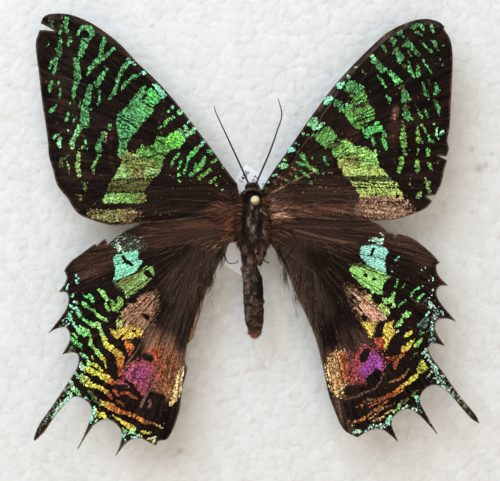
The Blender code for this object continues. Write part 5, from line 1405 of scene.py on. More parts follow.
# %% Skin below the fur
def build_cuticle_material():
    """Dark brown skin with a fine grain and a soft gloss."""
    material, tree, shader = new_material("cuticle", Roughness=0.45, Specular_IOR_Level=0.3)
    grains = mosaic(tree, object_places(tree, 6.0), 0.15, 0.3).outputs
    colour = blend_colours(tree, grains["Random"], (24, 17, 13), (52, 38, 30))
    link_to(tree, shader, Base_Color=colour, Normal=grains["Normal"])
    return material


CUTICLE = build_cuticle_material()

# %% The thorax's colours
# Middle x, y; spread x, y; colour there; how strong.  The pale streaks on the dark back are partly
# paler scales and partly painted sheen, and the small white one at (0.8, 4.9) is a painted
# highlight.
THORAX_STREAKS_AND_SHEEN = [
    (-0.9, 4.9, 0.28, 0.9, (190, 166, 150), 0.85), (-1.3, 2.9, 0.35, 1.0, (204, 176, 160), 0.85),
    (0.15, 4.0, 0.2, 0.7, (178, 154, 142), 0.8), (-0.8, 1.5, 0.6, 0.8, (206, 174, 160), 0.85),
    (0.0, 0.2, 0.4, 0.8, (180, 154, 140), 0.8), (-1.1, -0.8, 0.5, 0.8, (150, 126, 114), 0.75),
    (1.35, 1.6, 0.14, 1.4, (190, 166, 154), 0.85), (0.8, 4.9, 0.2, 0.25, (232, 224, 214), 1.0),
    (0.7, 2.4, 0.4, 1.2, (22, 22, 17), 0.8), (-2.4, 3.0, 0.45, 3.2, (20, 20, 15), 0.85),
]


# The dark oval on the back: its middle, and its half width at places along the thorax.
OVAL_MIDDLE, OVAL_EDGE = -0.95, 0.5
OVAL_PLACES, OVAL_HALF_WIDTHS = [-3.2, -2.4, -0.8, 1.0, 6.5, 8.5], [0.0, 1.0, 1.8, 2.25, 2.3, 1.2]
THORAX_BROWN, THORAX_BLACK, THORAX_FLECK = (92, 72, 60), (44, 36, 29), (176, 154, 138)


def dark_back(points):
    """How deep a point lies in the dark oval, 0 at its edge and 1 inside."""
    half = np.interp(points[:, 1], OVAL_PLACES, OVAL_HALF_WIDTHS)
    return np.clip((half - np.abs(points[:, 0] - OVAL_MIDDLE)) / OVAL_EDGE, 0, 1)


def thorax_tint(points, rng):
    """Nearly black back, brown sides and rear, and pale streaks of scales and painted sheen."""
    clump = clumps(points * (1, 0.6, 1), rng, 0.42)
    brown = to_linear(THORAX_BROWN) * (0.2 + 2.2 * clump[:, :1] ** 2)
    black = to_linear(THORAX_BLACK) * (0.3 + 1.4 * clump[:, 1:2])
    tint = toward(brown, black, dark_back(points))
    # Paler scales, painted sheen and one painted highlight, laid over the fur's colour.
    for middle_x, middle_y, spread_x, spread_y, colour, strength in THORAX_STREAKS_AND_SHEEN:
        near = np.exp(-((points[:, 0] - middle_x) / spread_x) ** 2
                      - ((points[:, 1] - middle_y) / spread_y) ** 2)
        near = near * np.clip(2.8 * clump[:, 3] - 0.5, 0, 1.4)
        tint = toward(tint, to_linear(colour), strength * near)
    fleck = (clump[:, 2] < 0.24) & (points[:, 1] < -2.6) & (rng.random(len(points)) < 0.5)
    tint = np.where(fleck[:, None], to_linear(THORAX_FLECK), tint)
    return tint * rng.uniform(0.7, 1.3, (len(points), 1))

# %% The thorax and its fur
THORAX_FUR, THORAX_HAIRS, SIDE_HAIRS = 0.35, 12500, 2600
THORAX_HAIR_WIDTH, SIDE_HAIR_WIDTH = 0.055, 0.04
# Behind REAR_FROM the hair lies straight back, and ahead of COLLAR_FROM it stands up.
REAR_FROM, REAR_LENGTH, COLLAR_FROM = -1.5, 2.5, 6.4
SIDE_FUR_ENDS, SIDE_BROWN, SIDE_BRIGHT = (-1.6, 8.0), (94, 64, 49), (190, 142, 114)


def build_back_fur(fine, rng):
    """Fur laid back along the keg: short on the back, longer at the sides and rear."""
    count = THORAX_HAIRS
    roots, outward = places_on(fine, count, rng)
    clump = clumps(roots, rng, 0.5)
    back = dark_back(roots) * (outward[:, 2] > 0)
    ways = outward * (0.3 + 0.5 * clump[:, :1]) + rng.normal(0, 0.14, (count, 3))
    rear = np.clip((REAR_FROM - roots[:, 1]) / REAR_LENGTH, 0, 1)
    ways[:, 0] *= 1 - 0.75 * rear
    ways += np.stack([(clump[:, 1] - 0.5) * 1.1 * (1 - 0.6 * back) * (1 - 0.7 * rear),
                      np.full(count, -0.85), np.zeros(count)], 1)
    ahead = roots[:, 1] > COLLAR_FROM
    ways[ahead] += (0, 0.8, 0)
    length = (1.0 - 0.45 * back + 0.05 * rear) * (0.6 + 0.6 * clump[:, 2])
    length *= rng.uniform(0.7, 1.2, count)
    bend = np.array([0, -0.12, 0.0]) - outward * 0.12
    return grow_hairs(roots, ways, length, THORAX_HAIR_WIDTH, thorax_tint(roots, rng), bend)


def build_side_fur(side, rng):
    """Longer hair that stands out over the root of the wings."""
    count = SIDE_HAIRS
    y = rng.uniform(*SIDE_FUR_ENDS, count)
    middle_x, half_width, middle_z, half_height = ring_at(THORAX_RINGS, y)
    lift = rng.uniform(0.12, 0.62, count)
    roots = np.stack([middle_x + side * (half_width - 0.3) * np.sqrt(1 - lift ** 2), y,
                      middle_z + half_height * lift * 0.8], 1)
    clump = clumps(roots * (1, 1, 0), rng, 0.5)
    flat = np.clip((y + 2.6) / 2.4, 0.1, 1)
    ways = np.stack([side * (0.55 + 0.6 * clump[:, 0]) * flat, (clump[:, 1] - 0.75) * 1.3
                     - 0.9 * (1 - flat), np.full(count, -0.15)], 1)
    ways += rng.normal(0, 0.16, (count, 3))
    tints = to_linear(SIDE_BROWN) * (0.3 + 1.3 * clump[:, 2:3] ** 2)
    bright = (rng.random(count) < 0.13) * np.clip((y + 1) / 4, 0, 1)
    tints = toward(tints, to_linear(SIDE_BRIGHT), bright)
    tints = tints * rng.uniform(0.5, 1.5, (count, 1))
    length = rng.uniform(0.7, 1.9, count)
    return grow_hairs(roots, ways, length, SIDE_HAIR_WIDTH, tints, (0, -0.15, -0.1))


def build_thorax():
    """The keg, then the fur on it and the hair at its sides."""
    rng = np.random.default_rng(41)
    points, faces, fine = oval_form(shrunk(THORAX_RINGS, THORAX_FUR), 5)
    make_piece("thorax_form", points, faces, CUTICLE, "body", ["thorax"])
    hair_piece("thorax_fur", [build_back_fur(fine, rng)], "body")
    hair_piece("thorax_side_fur", [build_side_fur(side, rng) for side in (-1, 1)], "body")


build_thorax()

# %% The abdomen's segments and colours
ABDOMEN_PROFILE = np.array([
    (-5.5, -1.2, 1.3, 30.65, 1.2), (-6.4, -1.35, 1.72, 30.65, 1.65),
    (-8.3, -0.65, 1.95, 30.6, 2.0), (-12.0, -0.5, 2.05, 30.5, 2.05),
    (-16.0, -0.35, 1.9, 30.4, 1.8), (-18.2, -0.2, 1.5, 30.3, 1.35),
    (-19.5, -0.3, 0.85, 30.3, 0.8), (-20.1, -0.3, 0.25, 30.3, 0.25),
])
ABDOMEN_FRONT, ABDOMEN_END, ABDOMEN_SEGMENT = -5.5, -20.05, 2.08
ABDOMEN_BROWN, ABDOMEN_BLACK, ABDOMEN_FLECK = (84, 67, 56), (24, 21, 20), (158, 136, 120)
TIP_RUST, TIP_FROM = (156, 94, 66), -17.9
# How light a segment is from its front edge to its rear edge.
SHARES, SHADES = [0, 0.1, 0.6, 0.8, 0.9, 1], [0.4, 0.9, 1.0, 1.5, 0.6, 0.4]


def share_of_segment(y):
    """How far through its segment a place along the abdomen is, from 0 to 1."""
    return ((ABDOMEN_FRONT - y) / ABDOMEN_SEGMENT) % 1


def abdomen_rings():
    """The profile, with each segment swelling towards its rear edge and a crease after it."""
    y = np.linspace(ABDOMEN_FRONT, ABDOMEN_END, 120)
    rings = np.column_stack([y, *ring_at(ABDOMEN_PROFILE, y)])
    swell = 0.1 * np.sin(np.pi * np.clip(share_of_segment(y) / 0.9, 0, 1)) ** 0.7 - 0.06
    rings[:, [2, 4]] += (swell * np.clip(rings[:, 2] / 1.5, 0, 1))[:, None]
    return rings


def abdomen_tint(points, rng):
    """Brown and flecked on the left, nearly black on the right, rusty at the tip."""
    x, y = points[:, 0], points[:, 1]
    clump = clumps(points * (0.8, 1, 1), rng, 0.5)
    tint = to_linear(ABDOMEN_BROWN) * (0.2 + 2.1 * clump[:, :1] ** 2)
    dark = np.clip((x + 0.3) / 0.5, 0, 1) * np.clip((1.45 - x) / 0.3, 0, 1)
    dark *= np.clip((y + 13.6) / 1.5, 0, 1)
    tint = toward(tint, to_linear(ABDOMEN_BLACK) * (0.5 + clump[:, 1:2]), 0.9 * dark)
    tip = np.clip((TIP_FROM - y + 2.2 * (clump[:, 3] - 0.5)) / 0.8, 0, 1)
    tint = toward(tint, to_linear(TIP_RUST) * (0.15 + 1.7 * clump[:, 1:2] ** 2), 0.85 * tip)
    tint *= np.interp(share_of_segment(y), SHARES, SHADES)[:, None]
    pale = (clump[:, 2] < np.where(x < -1.2, 0.3, 0.08)) & (x < 0.4)
    pale &= rng.random(len(points)) < 0.6
    tint = np.where(pale[:, None], to_linear(ABDOMEN_FLECK), tint)
    return tint * rng.uniform(0.75, 1.25, (len(points), 1))

# %% The abdomen and its down
ABDOMEN_DOWN, DOWN_HAIRS, DOWN_WIDTH = 0.16, 12000, 0.042


def build_abdomen():
    """The ringed form, then short down that lies back over each ring."""
    rng = np.random.default_rng(42)
    points, faces, fine = oval_form(shrunk(abdomen_rings(), ABDOMEN_DOWN), 1)
    make_piece("abdomen_form", points, faces, CUTICLE, "body", ["abdomen"])
    count = DOWN_HAIRS
    roots, outward = places_on(fine, count, rng)
    clump = clumps(roots, rng, 0.45)
    ways = outward * (0.15 + 0.4 * clump[:, :1]) + rng.normal(0, 0.13, (count, 3))
    ways += np.stack([(clump[:, 1] - 0.5) * 0.5, np.full(count, -1.0), np.zeros(count)], 1)
    length = rng.uniform(0.25, 0.5, count) * (0.7 + 0.6 * clump[:, 2])
    tail = roots[:, 1] < -18.6
    length[(roots[:, 1] > -7) | tail] *= 1.5
    length[tail] *= 1.3
    splayed = np.clip((-15.5 - roots[:, 1]) / 2, 0, 1)[:, None]
    ways += outward * 0.45 * splayed + rng.normal(0, 0.2, (count, 3)) * splayed
    hair_piece("abdomen_down", [grow_hairs(roots, ways, length, DOWN_WIDTH,
                                           abdomen_tint(roots, rng), -outward * 0.12)], "body")


build_abdomen()

# %% [markdown]
# ## The head
#
# Seen from above, the head is a small dark lump in front of a pale collar.  It carries two round
# eyes, whose surface is a fine mosaic, and two palps that stand up in front of the face.  All three
# are ovals on the same two parameters, longitude and latitude.

# %% Ovals for the head, the eyes and the palps
def oval_ball(middle, half_size, around=28, up=16):
    """Longitude and latitude, closed by a point at each pole."""
    latitude = np.pi * np.arange(1, up) / up
    longitude = 2 * np.pi * np.arange(around) / around
    rings = np.stack([np.sin(latitude)[:, None] * np.cos(longitude),
                      np.sin(latitude)[:, None] * np.sin(longitude),
                      np.repeat(-np.cos(latitude)[:, None], around, 1)], 2)
    points, faces = closed_rings(rings, [(0, 0, -1), (0, 0, 1)])
    return points * half_size + middle, faces


HEAD_MIDDLE, HEAD_SIZE = np.array([-0.75, 9.12, 30.6]), np.array([1.0, 0.66, 1.15])
EYE_SPREAD, EYE_FORWARD, EYE_RADIUS = 0.82, 0.12, 0.6


def build_eye_material():
    """Dark glossy facets."""
    material, tree, shader = new_material("eye facets", Roughness=0.22, Coat_Weight=0.3)
    facets = mosaic(tree, object_places(tree, 16.0), 0.2, 0.15).outputs
    colour = blend_colours(tree, facets["Seam"], (12, 8, 7), (34, 24, 20))
    link_to(tree, shader, Base_Color=colour, Normal=facets["Normal"])
    return material

# %% The head's hair
# The collar's tufts: width, reach forward, colour, how many hairs, height.
COLLAR = ((1.95, 1.5, (44, 33, 26), 900, 32.1), (1.5, 1.55, (150, 122, 96), 260, 32.5),
          (1.5, 1.3, (30, 23, 18), 500, 32.6))


def head_hairs(rng, count):
    """Short fur all over the head, apart from where the eyes are."""
    outward = unit(rng.normal(0, 1, (count, 3)))
    outward = outward[np.abs(outward[:, 0]) < 0.75]
    count = len(outward)
    ways = outward + (0, 0.35, 0.2) + rng.normal(0, 0.35, (count, 3))
    tints = varied(rng, (44, 34, 27), count, 0.6)
    pale = (rng.random(count) < 0.16)[:, None]
    tints = np.where(pale, to_linear((150, 132, 112)), tints)
    return grow_hairs(HEAD_MIDDLE + outward * HEAD_SIZE, ways, rng.uniform(0.25, 0.95, count),
                      0.035, tints, -outward * 0.2)


def collar_hairs(rng, width, rise, colour, count, height):
    """One tuft of the collar, along an arc behind the head."""
    angle = rng.uniform(0.3, 2.8, count)
    spread = rng.normal(0, 0.08, (count, 3))
    roots = spread + np.stack([-0.65 + width * np.cos(angle), 7.0 + rise * np.sin(angle) ** 0.8,
                               height + 0.6 * np.sin(angle)], 1)
    ways = np.stack([np.cos(angle) * 0.7, np.full(count, 0.45), np.full(count, 0.1)], 1)
    tints = varied(rng, colour, count, 0.5)
    ways = ways + rng.normal(0, 0.3, (count, 3))
    return grow_hairs(roots, ways, rng.uniform(0.35, 0.7, count), 0.045, tints)


def crown_hairs(rng, count):
    """Longer loose hair between the collar and the feelers."""
    roots = HEAD_MIDDLE + np.column_stack([rng.uniform(low, high, count) for low, high in (
        (-1.3, 1.3), (-1.2, 0.5), (0.5, 1.3))])
    ways = np.array([0, 0.8, 0.1]) + rng.normal(0, 0.5, (count, 3)) * (1, 0.6, 0.3)
    length = rng.uniform(0.4, 1.1, count)
    return grow_hairs(roots, ways, length, 0.04, varied(rng, (66, 46, 36), count, 0.7))

# %% The head
def build_head():
    """The head under short fur, two eyes, and two furred palps."""
    rng = np.random.default_rng(43)
    palps = [oval_ball(HEAD_MIDDLE + (side * 0.3, 0.62, -0.75), (0.2, 0.26, 0.55), 14, 10)
             for side in (-1, 1)]
    neck = oval_ball(HEAD_MIDDLE + (0.0, -0.55, 0.2), (0.85, 0.4, 0.9), 18, 10)
    points, faces = joined([oval_ball(HEAD_MIDDLE, HEAD_SIZE), neck, *palps])
    make_piece("head_form", points, faces, CUTICLE, "body", ["head"])
    points, faces = joined([oval_ball(HEAD_MIDDLE + (side * EYE_SPREAD, EYE_FORWARD, 0.0),
                                      EYE_RADIUS) for side in (-1, 1)])
    make_piece("eyes", points, faces, build_eye_material(), "body")
    hairs = [head_hairs(rng, 1500), *(collar_hairs(rng, *tuft) for tuft in COLLAR)]
    hair_piece("head_fur", [*hairs, crown_hairs(rng, 320)], "body")


build_head()

# %% [markdown]
# ## Feelers and legs
#
# Both are thin tapering tubes along smooth lines.  A feeler is made of dozens of short joints, so
# its radius ripples.  A leg has a thick thigh, a narrower shin with spurs at its end, and a foot of
# short joints with two claws.

# %% Feelers
ANTENNA_SIDES = 10
ANTENNAE = {
    "left": [(-1.5, 10.05, 31.3), (-3.1, 13.6, 31.9), (-5.8, 19.4, 32.3), (-7.75, 23.6, 32.5),
             (-8.1, 24.9, 32.6)],
    "right": [(0.1, 10.0, 31.3), (0.75, 11.6, 31.7), (2.65, 16.0, 32.3), (4.1, 20.1, 32.8),
              (5.0, 23.2, 33.2), (4.3, 26.3, 33.5)],
}


def build_limb_material():
    """Dark brown shell, its scales seen as a fine grain, paler where the paint says so."""
    material, tree, shader = new_material("limb shell", Specular_IOR_Level=0.35, Roughness=0.45)
    grains = mosaic(tree, object_places(tree, 7.0), 0.15, 0.3).outputs
    colour = blend_colours(tree, grains["Random"], (36, 23, 22), (66, 46, 40))
    colour = blend_colours(tree, attribute(tree, "pale"), colour, (150, 126, 104))
    link_to(tree, shader, Base_Color=colour, Normal=grains["Normal"])
    return material


LIMB = build_limb_material()


def even_path(points, step):
    """A smooth line with places at even steps along it."""
    fine = smooth_line(points, 20)
    reach = reach_along(fine)
    at = np.linspace(0, reach[-1], max(int(reach[-1] / step), 4))
    return np.stack([np.interp(at, reach, column) for column in fine.T], 1), at / reach[-1]


for side, line in ANTENNAE.items():
    path, t = even_path(line, 0.11)
    joints = 1 + 0.13 * np.cos(np.arange(len(path)) * np.pi / 1.5)
    radius = (0.19 - 0.1 * t ** 1.6) * joints * np.clip((1.03 - t) / 0.05, 0.25, 1)
    points, faces = tube(path, radius, ANTENNA_SIDES)
    pale = np.repeat(np.clip((t - 0.86) / 0.14, 0, 1) * 0.5, ANTENNA_SIDES)
    pale = np.append(pale, [0.0, 0.5])
    make_piece(f"antenna_{side}_joints", points, faces, LIMB, "limb", [f"antenna_{side}"],
               pale=pale)

# %% Legs
LEGS = {
    "foreleg_left": [(-1.5, 6.6), (-1.7, 7.4, 26.9), (-1.3, 6.2, 25.9), (-1.3, 3.9, 25.6)],
    "foreleg_right": [(0.75, 6.2), (0.8, 7.2, 27.0), (0.6, 5.6, 25.9), (0.4, 3.2, 25.7)],
    "midleg_left": [(-1.9, 2.6), (-2.6, 4.0, 26.4), (-2.4, 1.4, 25.4), (-1.6, -1.2, 25.2)],
    "midleg_right": [(0.9, 2.4), (1.4, 3.9, 26.6), (1.3, 1.2, 25.6), (0.5, -1.4, 25.4)],
    "hindleg_left": [(-1.9, -1.4), (-3.4, -1.0, 27.2), (-5.3, -1.7, 27.8), (-6.05, -3.3, 27.9),
                     (-6.1, -4.4, 27.7), (-5.4, -5.6, 27.3), (-3.8, -5.55, 26.9),
                     (-3.6, -5.1, 26.7)],
    "hindleg_right": [(0.8, -1.6), (1.2, -3.2, 27.0), (1.4, -4.7, 27.3), (2.0, -5.35, 27.4),
                      (2.5, -5.6, 27.1)],
}
# %% Building a leg
# The shell's radius at shares of the leg's length, and where its foot starts.
LEG_SHARES = [0, 0.08, 0.25, 0.36, 0.4, 0.46, 0.66, 0.7, 0.95, 1.0]
LEG_RADII = [0.24, 0.34, 0.3, 0.18, 0.13, 0.17, 0.15, 0.08, 0.055, 0.06]
FOOT_START, FOOT_JOINT = 0.7, 0.06
# Pairs of spurs and the claws: share of the leg's length, and size.
SPURS = ((0.52, 0.75), (0.69, 0.75), (0.99, 0.3))
SPUR_RADII = np.array([0.05, 0.05, 0.04, 0.03, 0.012])
LEG_BRISTLES = 260


def leg_line(places):
    """The leg's line, starting inside the fur under the thorax."""
    x, y = places[0]
    middle_x, half_width, middle_z, half_height = ring_at(THORAX_RINGS, y)
    across = min(abs(x - middle_x) / half_width, 0.95)
    top = middle_z - half_height * math.sqrt(1 - across ** 2)
    return [(x, y, top - BODY_GAP), (x, y, top - 0.9), *places[1:]]


def build_leg(name, places, seed):
    """Thigh, shin, spurs and foot along one line, with bristles over them."""
    rng = np.random.default_rng(seed)
    path, t = even_path(leg_line(places), 0.1)
    radius = np.interp(t, LEG_SHARES, LEG_RADII)
    joints = 1 + 0.18 * np.cos((t - FOOT_START) * 2 * np.pi / FOOT_JOINT)
    radius = np.where(t > FOOT_START, radius * joints, radius)
    parts = [tube(path, radius, 12)]
    along = unit(np.gradient(path, axis=0))
    for share, size in SPURS:
        at = int(share * (len(path) - 1))
        sideways = unit(np.cross(along[at], (0.0, 0.0, 1.0)))
        for lean in (1.0, -1.0):
            tip = path[at] + (along[at] * 0.85 + sideways * 0.5 * lean) * size
            parts.append(tube(np.linspace(path[at], tip, len(SPUR_RADII)), SPUR_RADII, 6))
    points, faces = joined(parts)
    make_piece(name + "_shell", points, faces, LIMB, "limb", [name], pale=np.zeros(len(points)))
    count = LEG_BRISTLES
    at = rng.integers(2, len(path) - 2, count)
    angle = rng.uniform(0, 2 * np.pi, count)
    across = unit(np.cross(along[at], (0.3, 0.2, 1.0)))
    over = np.cross(across, along[at])
    outward = across * np.cos(angle)[:, None] + over * np.sin(angle)[:, None]
    roots = path[at] + outward * (radius[at] * 0.9)[:, None]
    return grow_hairs(roots, along[at] + outward * 0.35, rng.uniform(0.15, 0.4, count), 0.028,
                      varied(rng, (88, 66, 54), count, 0.5))


hair_piece("leg_bristles", [build_leg(name, places, 60 + number)
                            for number, (name, places) in enumerate(LEGS.items())], "limb")

# %% [markdown]
# ## The pin
#
# An insect pin is drawn steel wire with a ground point and a moulded ball for a head.  Both are
# profiles turned about the pin's axis.

# %% Turning the pin
PIN_X, PIN_Y, PIN_RADIUS = -0.2, 6.35, 0.25
PIN_TOP, PIN_POINT, PIN_TAPER = 45.0, 7.0, 3.0
BALL_RADIUS = 0.88
BALL_MIDDLE = PIN_TOP - 0.35 * BALL_RADIUS


def turned(profile, sides):
    """A profile of radius and height, bottom to top, swept round the pin, closed by a point."""
    radius, height = np.array(profile, float).T
    angle = 2 * np.pi * np.arange(sides) / sides
    rings = np.stack([PIN_X + radius[1:-1, None] * np.cos(angle),
                      PIN_Y + radius[1:-1, None] * np.sin(angle),
                      np.repeat(height[1:-1, None], sides, 1)], 2)
    return closed_rings(rings, [(PIN_X, PIN_Y, height[0]), (PIN_X, PIN_Y, height[-1])])

# %% The pin's finishes
def build_steel_material():
    """Drawn wire: grey steel with faint marks along it and a brown bloom."""
    material, tree, shader = new_material("pin wire", Metallic=1.0)
    marks = noise(tree, stretched(tree, object_places(tree, 1.0), (9.0, 9.0, 0.4)), 4.0)
    bloom = noise(tree, object_places(tree, 0.5))
    colour = blend_colours(tree, marks, (120, 116, 110), (172, 168, 160))
    colour = blend_colours(tree, remap(tree, bloom, 0.5, 0.75), colour, (112, 84, 56))
    link_to(tree, shader, Base_Color=colour, Roughness=remap(tree, marks, 0.3, 0.7, 0.25, 0.42))
    return material


def build_ivory_material():
    """Old cream plastic, a little dulled by handling, its far side browned as painted shade."""
    material, tree, shader = new_material("ivory ball", Coat_Weight=0.05, Specular_IOR_Level=0.2)
    clouds = noise(tree, object_places(tree, 1.6), 3.0)
    # The paint named low is painted shade: it browns the ball's side away from the window.
    low = maths(tree, "MULTIPLY", attribute(tree, "low"), 0.85)
    colour = blend_colours(tree, clouds, (242, 220, 186), (226, 200, 160))
    colour = blend_colours(tree, low, colour, (138, 100, 66))
    link_to(tree, shader, Base_Color=colour, Roughness=remap(tree, clouds, 0.3, 0.7, 0.26, 0.4))
    return material

# %% The shaft and the ball
points, faces = turned([(0, PIN_POINT), (0.02, PIN_POINT + 0.05),
                        (PIN_RADIUS, PIN_POINT + PIN_TAPER), (PIN_RADIUS, 20), (PIN_RADIUS, 32),
                        (PIN_RADIUS, PIN_TOP - 0.1), (0, PIN_TOP - 0.05)], 24)
make_piece("pin_wire", points, faces, build_steel_material(), "pin_steel", ["pin_shaft"])
latitude = np.linspace(0.35, np.pi, 20)[:-1]
ball = [(0, BALL_MIDDLE - BALL_RADIUS - 0.05),
        (PIN_RADIUS + 0.03, BALL_MIDDLE - BALL_RADIUS - 0.02),
        *((BALL_RADIUS * math.sin(a), BALL_MIDDLE - BALL_RADIUS * math.cos(a)) for a in latitude),
        (0, BALL_MIDDLE + BALL_RADIUS)]
points, faces = turned(ball, 40)
# How far each point looks away from the window: painted shade browns the ball's far side.
lean = (points - (PIN_X, PIN_Y, BALL_MIDDLE)) @ (0.26, -0.78, -0.57) / BALL_RADIUS
make_piece("pin_ball", points, faces, build_ivory_material(), "pin_ivory", ["pin_head"],
           low=np.clip((lean + 0.56) / 0.5, 0, 1))

# %% [markdown]
# ## The label
#
# A slip of thin card rides on the pin below the moth, its two ends curled up.  The photo's label
# has writing that isn't copied.  This one carries plain numbers in ink, as text made a mesh and
# bent over the card with the same formula as the card itself.

# %% The card's surface and finish
LABEL_LENGTH, LABEL_WIDTH, LABEL_HEIGHT = 19.2, 11.6, 22.6
LABEL_CURL, LABEL_PIN_ALONG = 0.7, 4.1
LABEL_TURN = math.radians(57)
CARD_MIDDLE, CARD_THICKNESS = 0.125, 0.16


def card_points(u, v, lift):
    """Places along and across the card, from the pin, as points on its curled surface."""
    height = LABEL_HEIGHT + CARD_MIDDLE + LABEL_CURL * (u / LABEL_LENGTH) ** 2 + lift
    height = height + 0.03 * np.sin(u * 0.9 + 1) * np.sin(v * 0.7)
    x = PIN_X + u * math.cos(LABEL_TURN) + v * math.sin(LABEL_TURN)
    y = PIN_Y + u * math.sin(LABEL_TURN) - v * math.cos(LABEL_TURN)
    return np.stack([x, y, height], -1)


def build_card_material():
    """White card with a lavender cast, fibres, a few specks, and a faint glow of its own.

    The glow is painted light, added because the moth shades the card.
    """
    # The emission is painted light that brightens the card, which lies in the moth's shade.
    material, tree, shader = new_material("label card", Emission_Strength=0.14,
                                          Specular_IOR_Level=0.25)
    fibres = noise(tree, object_places(tree, 5.0), 4.0, Distortion=1.5)
    clouds = noise(tree, object_places(tree, 0.4))
    specks = cells_round_points(tree, object_places(tree, 0.9)).outputs["Distance"]
    colour = blend_colours(tree, clouds, (249, 249, 255), (255, 254, 255))
    colour = blend_colours(tree, remap(tree, specks, 0.06, 0.1, 0.35, 0.0), colour,
                           (140, 128, 118))
    colour = blend_colours(tree, remap(tree, fibres, 0.35, 0.65, 0.0, 0.15), colour,
                           (212, 212, 226))
    link_to(tree, shader, Base_Color=colour, Roughness=remap(tree, fibres, 0.3, 0.7, 0.75, 0.9),
            Normal=bumped(tree, fibres, 0.3, 0.05))
    return material

# %% The card
def build_card():
    """A grid over the card's two sides, one thickness apart."""
    u = np.linspace(-LABEL_LENGTH / 2, LABEL_LENGTH / 2, 77) - LABEL_PIN_ALONG
    v = np.linspace(-LABEL_WIDTH / 2, LABEL_WIDTH / 2, 47)
    grid_u, grid_v = (grid.ravel() for grid in np.meshgrid(u, v))
    rows, columns = len(v), len(u)
    row, column = (grid.ravel() for grid in np.mgrid[:rows - 1, :columns - 1])
    at = row * columns + column
    corners = np.stack([at, at + columns, at + columns + 1, at + 1], 1)
    edges = np.vstack([corners[row == 0][:, [3, 0]], corners[row == rows - 2][:, [1, 2]],
                       corners[column == 0][:, [0, 1]], corners[column == columns - 2][:, [2, 3]]])
    top, bottom = (card_points(grid_u, grid_v, lift)
                   for lift in (CARD_THICKNESS / 2, -CARD_THICKNESS / 2))
    points, faces = two_sided(top, bottom, corners, edges)
    make_piece("label_card", points, faces, build_card_material(), "paper", ["data_label"])


build_card()

# %% Ink numbers on the card
# What each row says, and where it is across and along the card.
INK_ROWS = (("1406", -4.6, 4.6), ("27", -2.4, 4.7), ("385 2", -0.2, 4.4), ("62 7", 2.0, 4.6),
            ("0218", 4.2, 4.3), ("31 5", -4.6, -7.6), ("94", -2.5, -8.4))
INK_LETTERS = {"size": 1.4, "align_x": "RIGHT", "align_y": "CENTER", "extrude": 0.01,
               "offset": 0.015, "resolution_u": 3}


def build_ink_material():
    """Blue-black ink, a little uneven."""
    material, tree, shader = new_material("ink", Roughness=0.6, Specular_IOR_Level=0.3)
    spread = noise(tree, object_places(tree, 6.0))
    link_to(tree, shader, Base_Color=blend_colours(tree, spread, (22, 22, 30), (52, 52, 62)))
    return material


def letters(text):
    """Text as a flat mesh's places and triangles."""
    curve = bpy.data.curves.new("numbers", "FONT")
    curve.body = text
    for name, value in INK_LETTERS.items():
        setattr(curve, name, value)
    written = bpy.data.objects.new("numbers", curve)
    bpy.context.scene.collection.objects.link(written)
    bpy.context.view_layer.update()
    flat = bpy.data.meshes.new_from_object(
        written.evaluated_get(bpy.context.evaluated_depsgraph_get()))
    flat.calc_loop_triangles()
    place = np.empty(len(flat.vertices) * 3)
    flat.vertices.foreach_get("co", place)
    triangles = np.empty(len(flat.loop_triangles) * 3, int)
    flat.loop_triangles.foreach_get("vertices", triangles)
    bpy.data.objects.remove(written)
    bpy.data.curves.remove(curve)
    return place.reshape(-1, 3), triangles.reshape(-1, 3)


def build_ink():
    """Each row is laid in the card's own directions and bent with it."""
    parts = []
    for text, v, u in INK_ROWS:
        place, triangles = letters(text)
        points = card_points(u + place[:, 0], v - place[:, 1], CARD_THICKNESS / 2 + place[:, 2])
        parts.append((points, [triangles]))
    points, faces = joined(parts)
    make_piece("label_ink", points, faces, build_ink_material(), "paper", smooth=False)


build_ink()

# %% [markdown]
# ## The foam
#
# Expanded polystyrene is beads of about two millimetres, pressed together as they swell.  Where the
# block is cut, each bead shows as a small facet at its own tilt, with a thin seam round it.
# Blender has this pattern as a texture, but a texture gives no form.  Here the beads are worked out
# as arrays, so that the surface itself is uneven.  The shader adds the finest grain, and painted
# shade that darkens the seams and the pores.

# %% Beads: cells round scattered middles
BEAD = 2.25
BLOCK_SIZE = np.array([120.0, 115.0, 20.0])
# Random numbers for this many cells along X, Y and Z, used over again past their end.
CELLS = (64, 64, 16)


def bead_cells(points):
    """The nearest bead's middle, its own random numbers, and how far off its seam is."""
    table = np.random.default_rng(7).random((*CELLS, 6))
    cell = np.floor(points / BEAD).astype(int)
    first = np.full(len(points), 99.0)
    second = first.copy()
    middle = np.zeros_like(points)
    own = np.zeros((len(points), 3))
    for step in np.ndindex(3, 3, 3):
        near = cell + np.array(step) - 1
        random = table[tuple((near % CELLS).T)]
        candidate = (near + 0.1 + 0.8 * random[:, :3]) * BEAD
        away = np.linalg.norm(points - candidate, axis=1)
        closer = away < first
        second = np.where(closer, first, np.minimum(second, away))
        first = np.where(closer, away, first)
        middle = np.where(closer[:, None], candidate, middle)
        own = np.where(closer[:, None], random[:, 3:], own)
    return middle, own, second - first

# %% The block's surface
FOAM_COLUMNS, FOAM_ROWS, FOAM_LAYERS = 258, 247, 34
EDGE_RADIUS = 0.8
BEAD_SHIFT = np.array([70, 70, 3])
FACET_TILT, FACET_LOW, FACET_HIGH = 0.22, -0.2, 0.1
SEAM_DEPTH, SEAM_WIDTH, BEAD_LIFT = 0.26, 0.33, 0.06


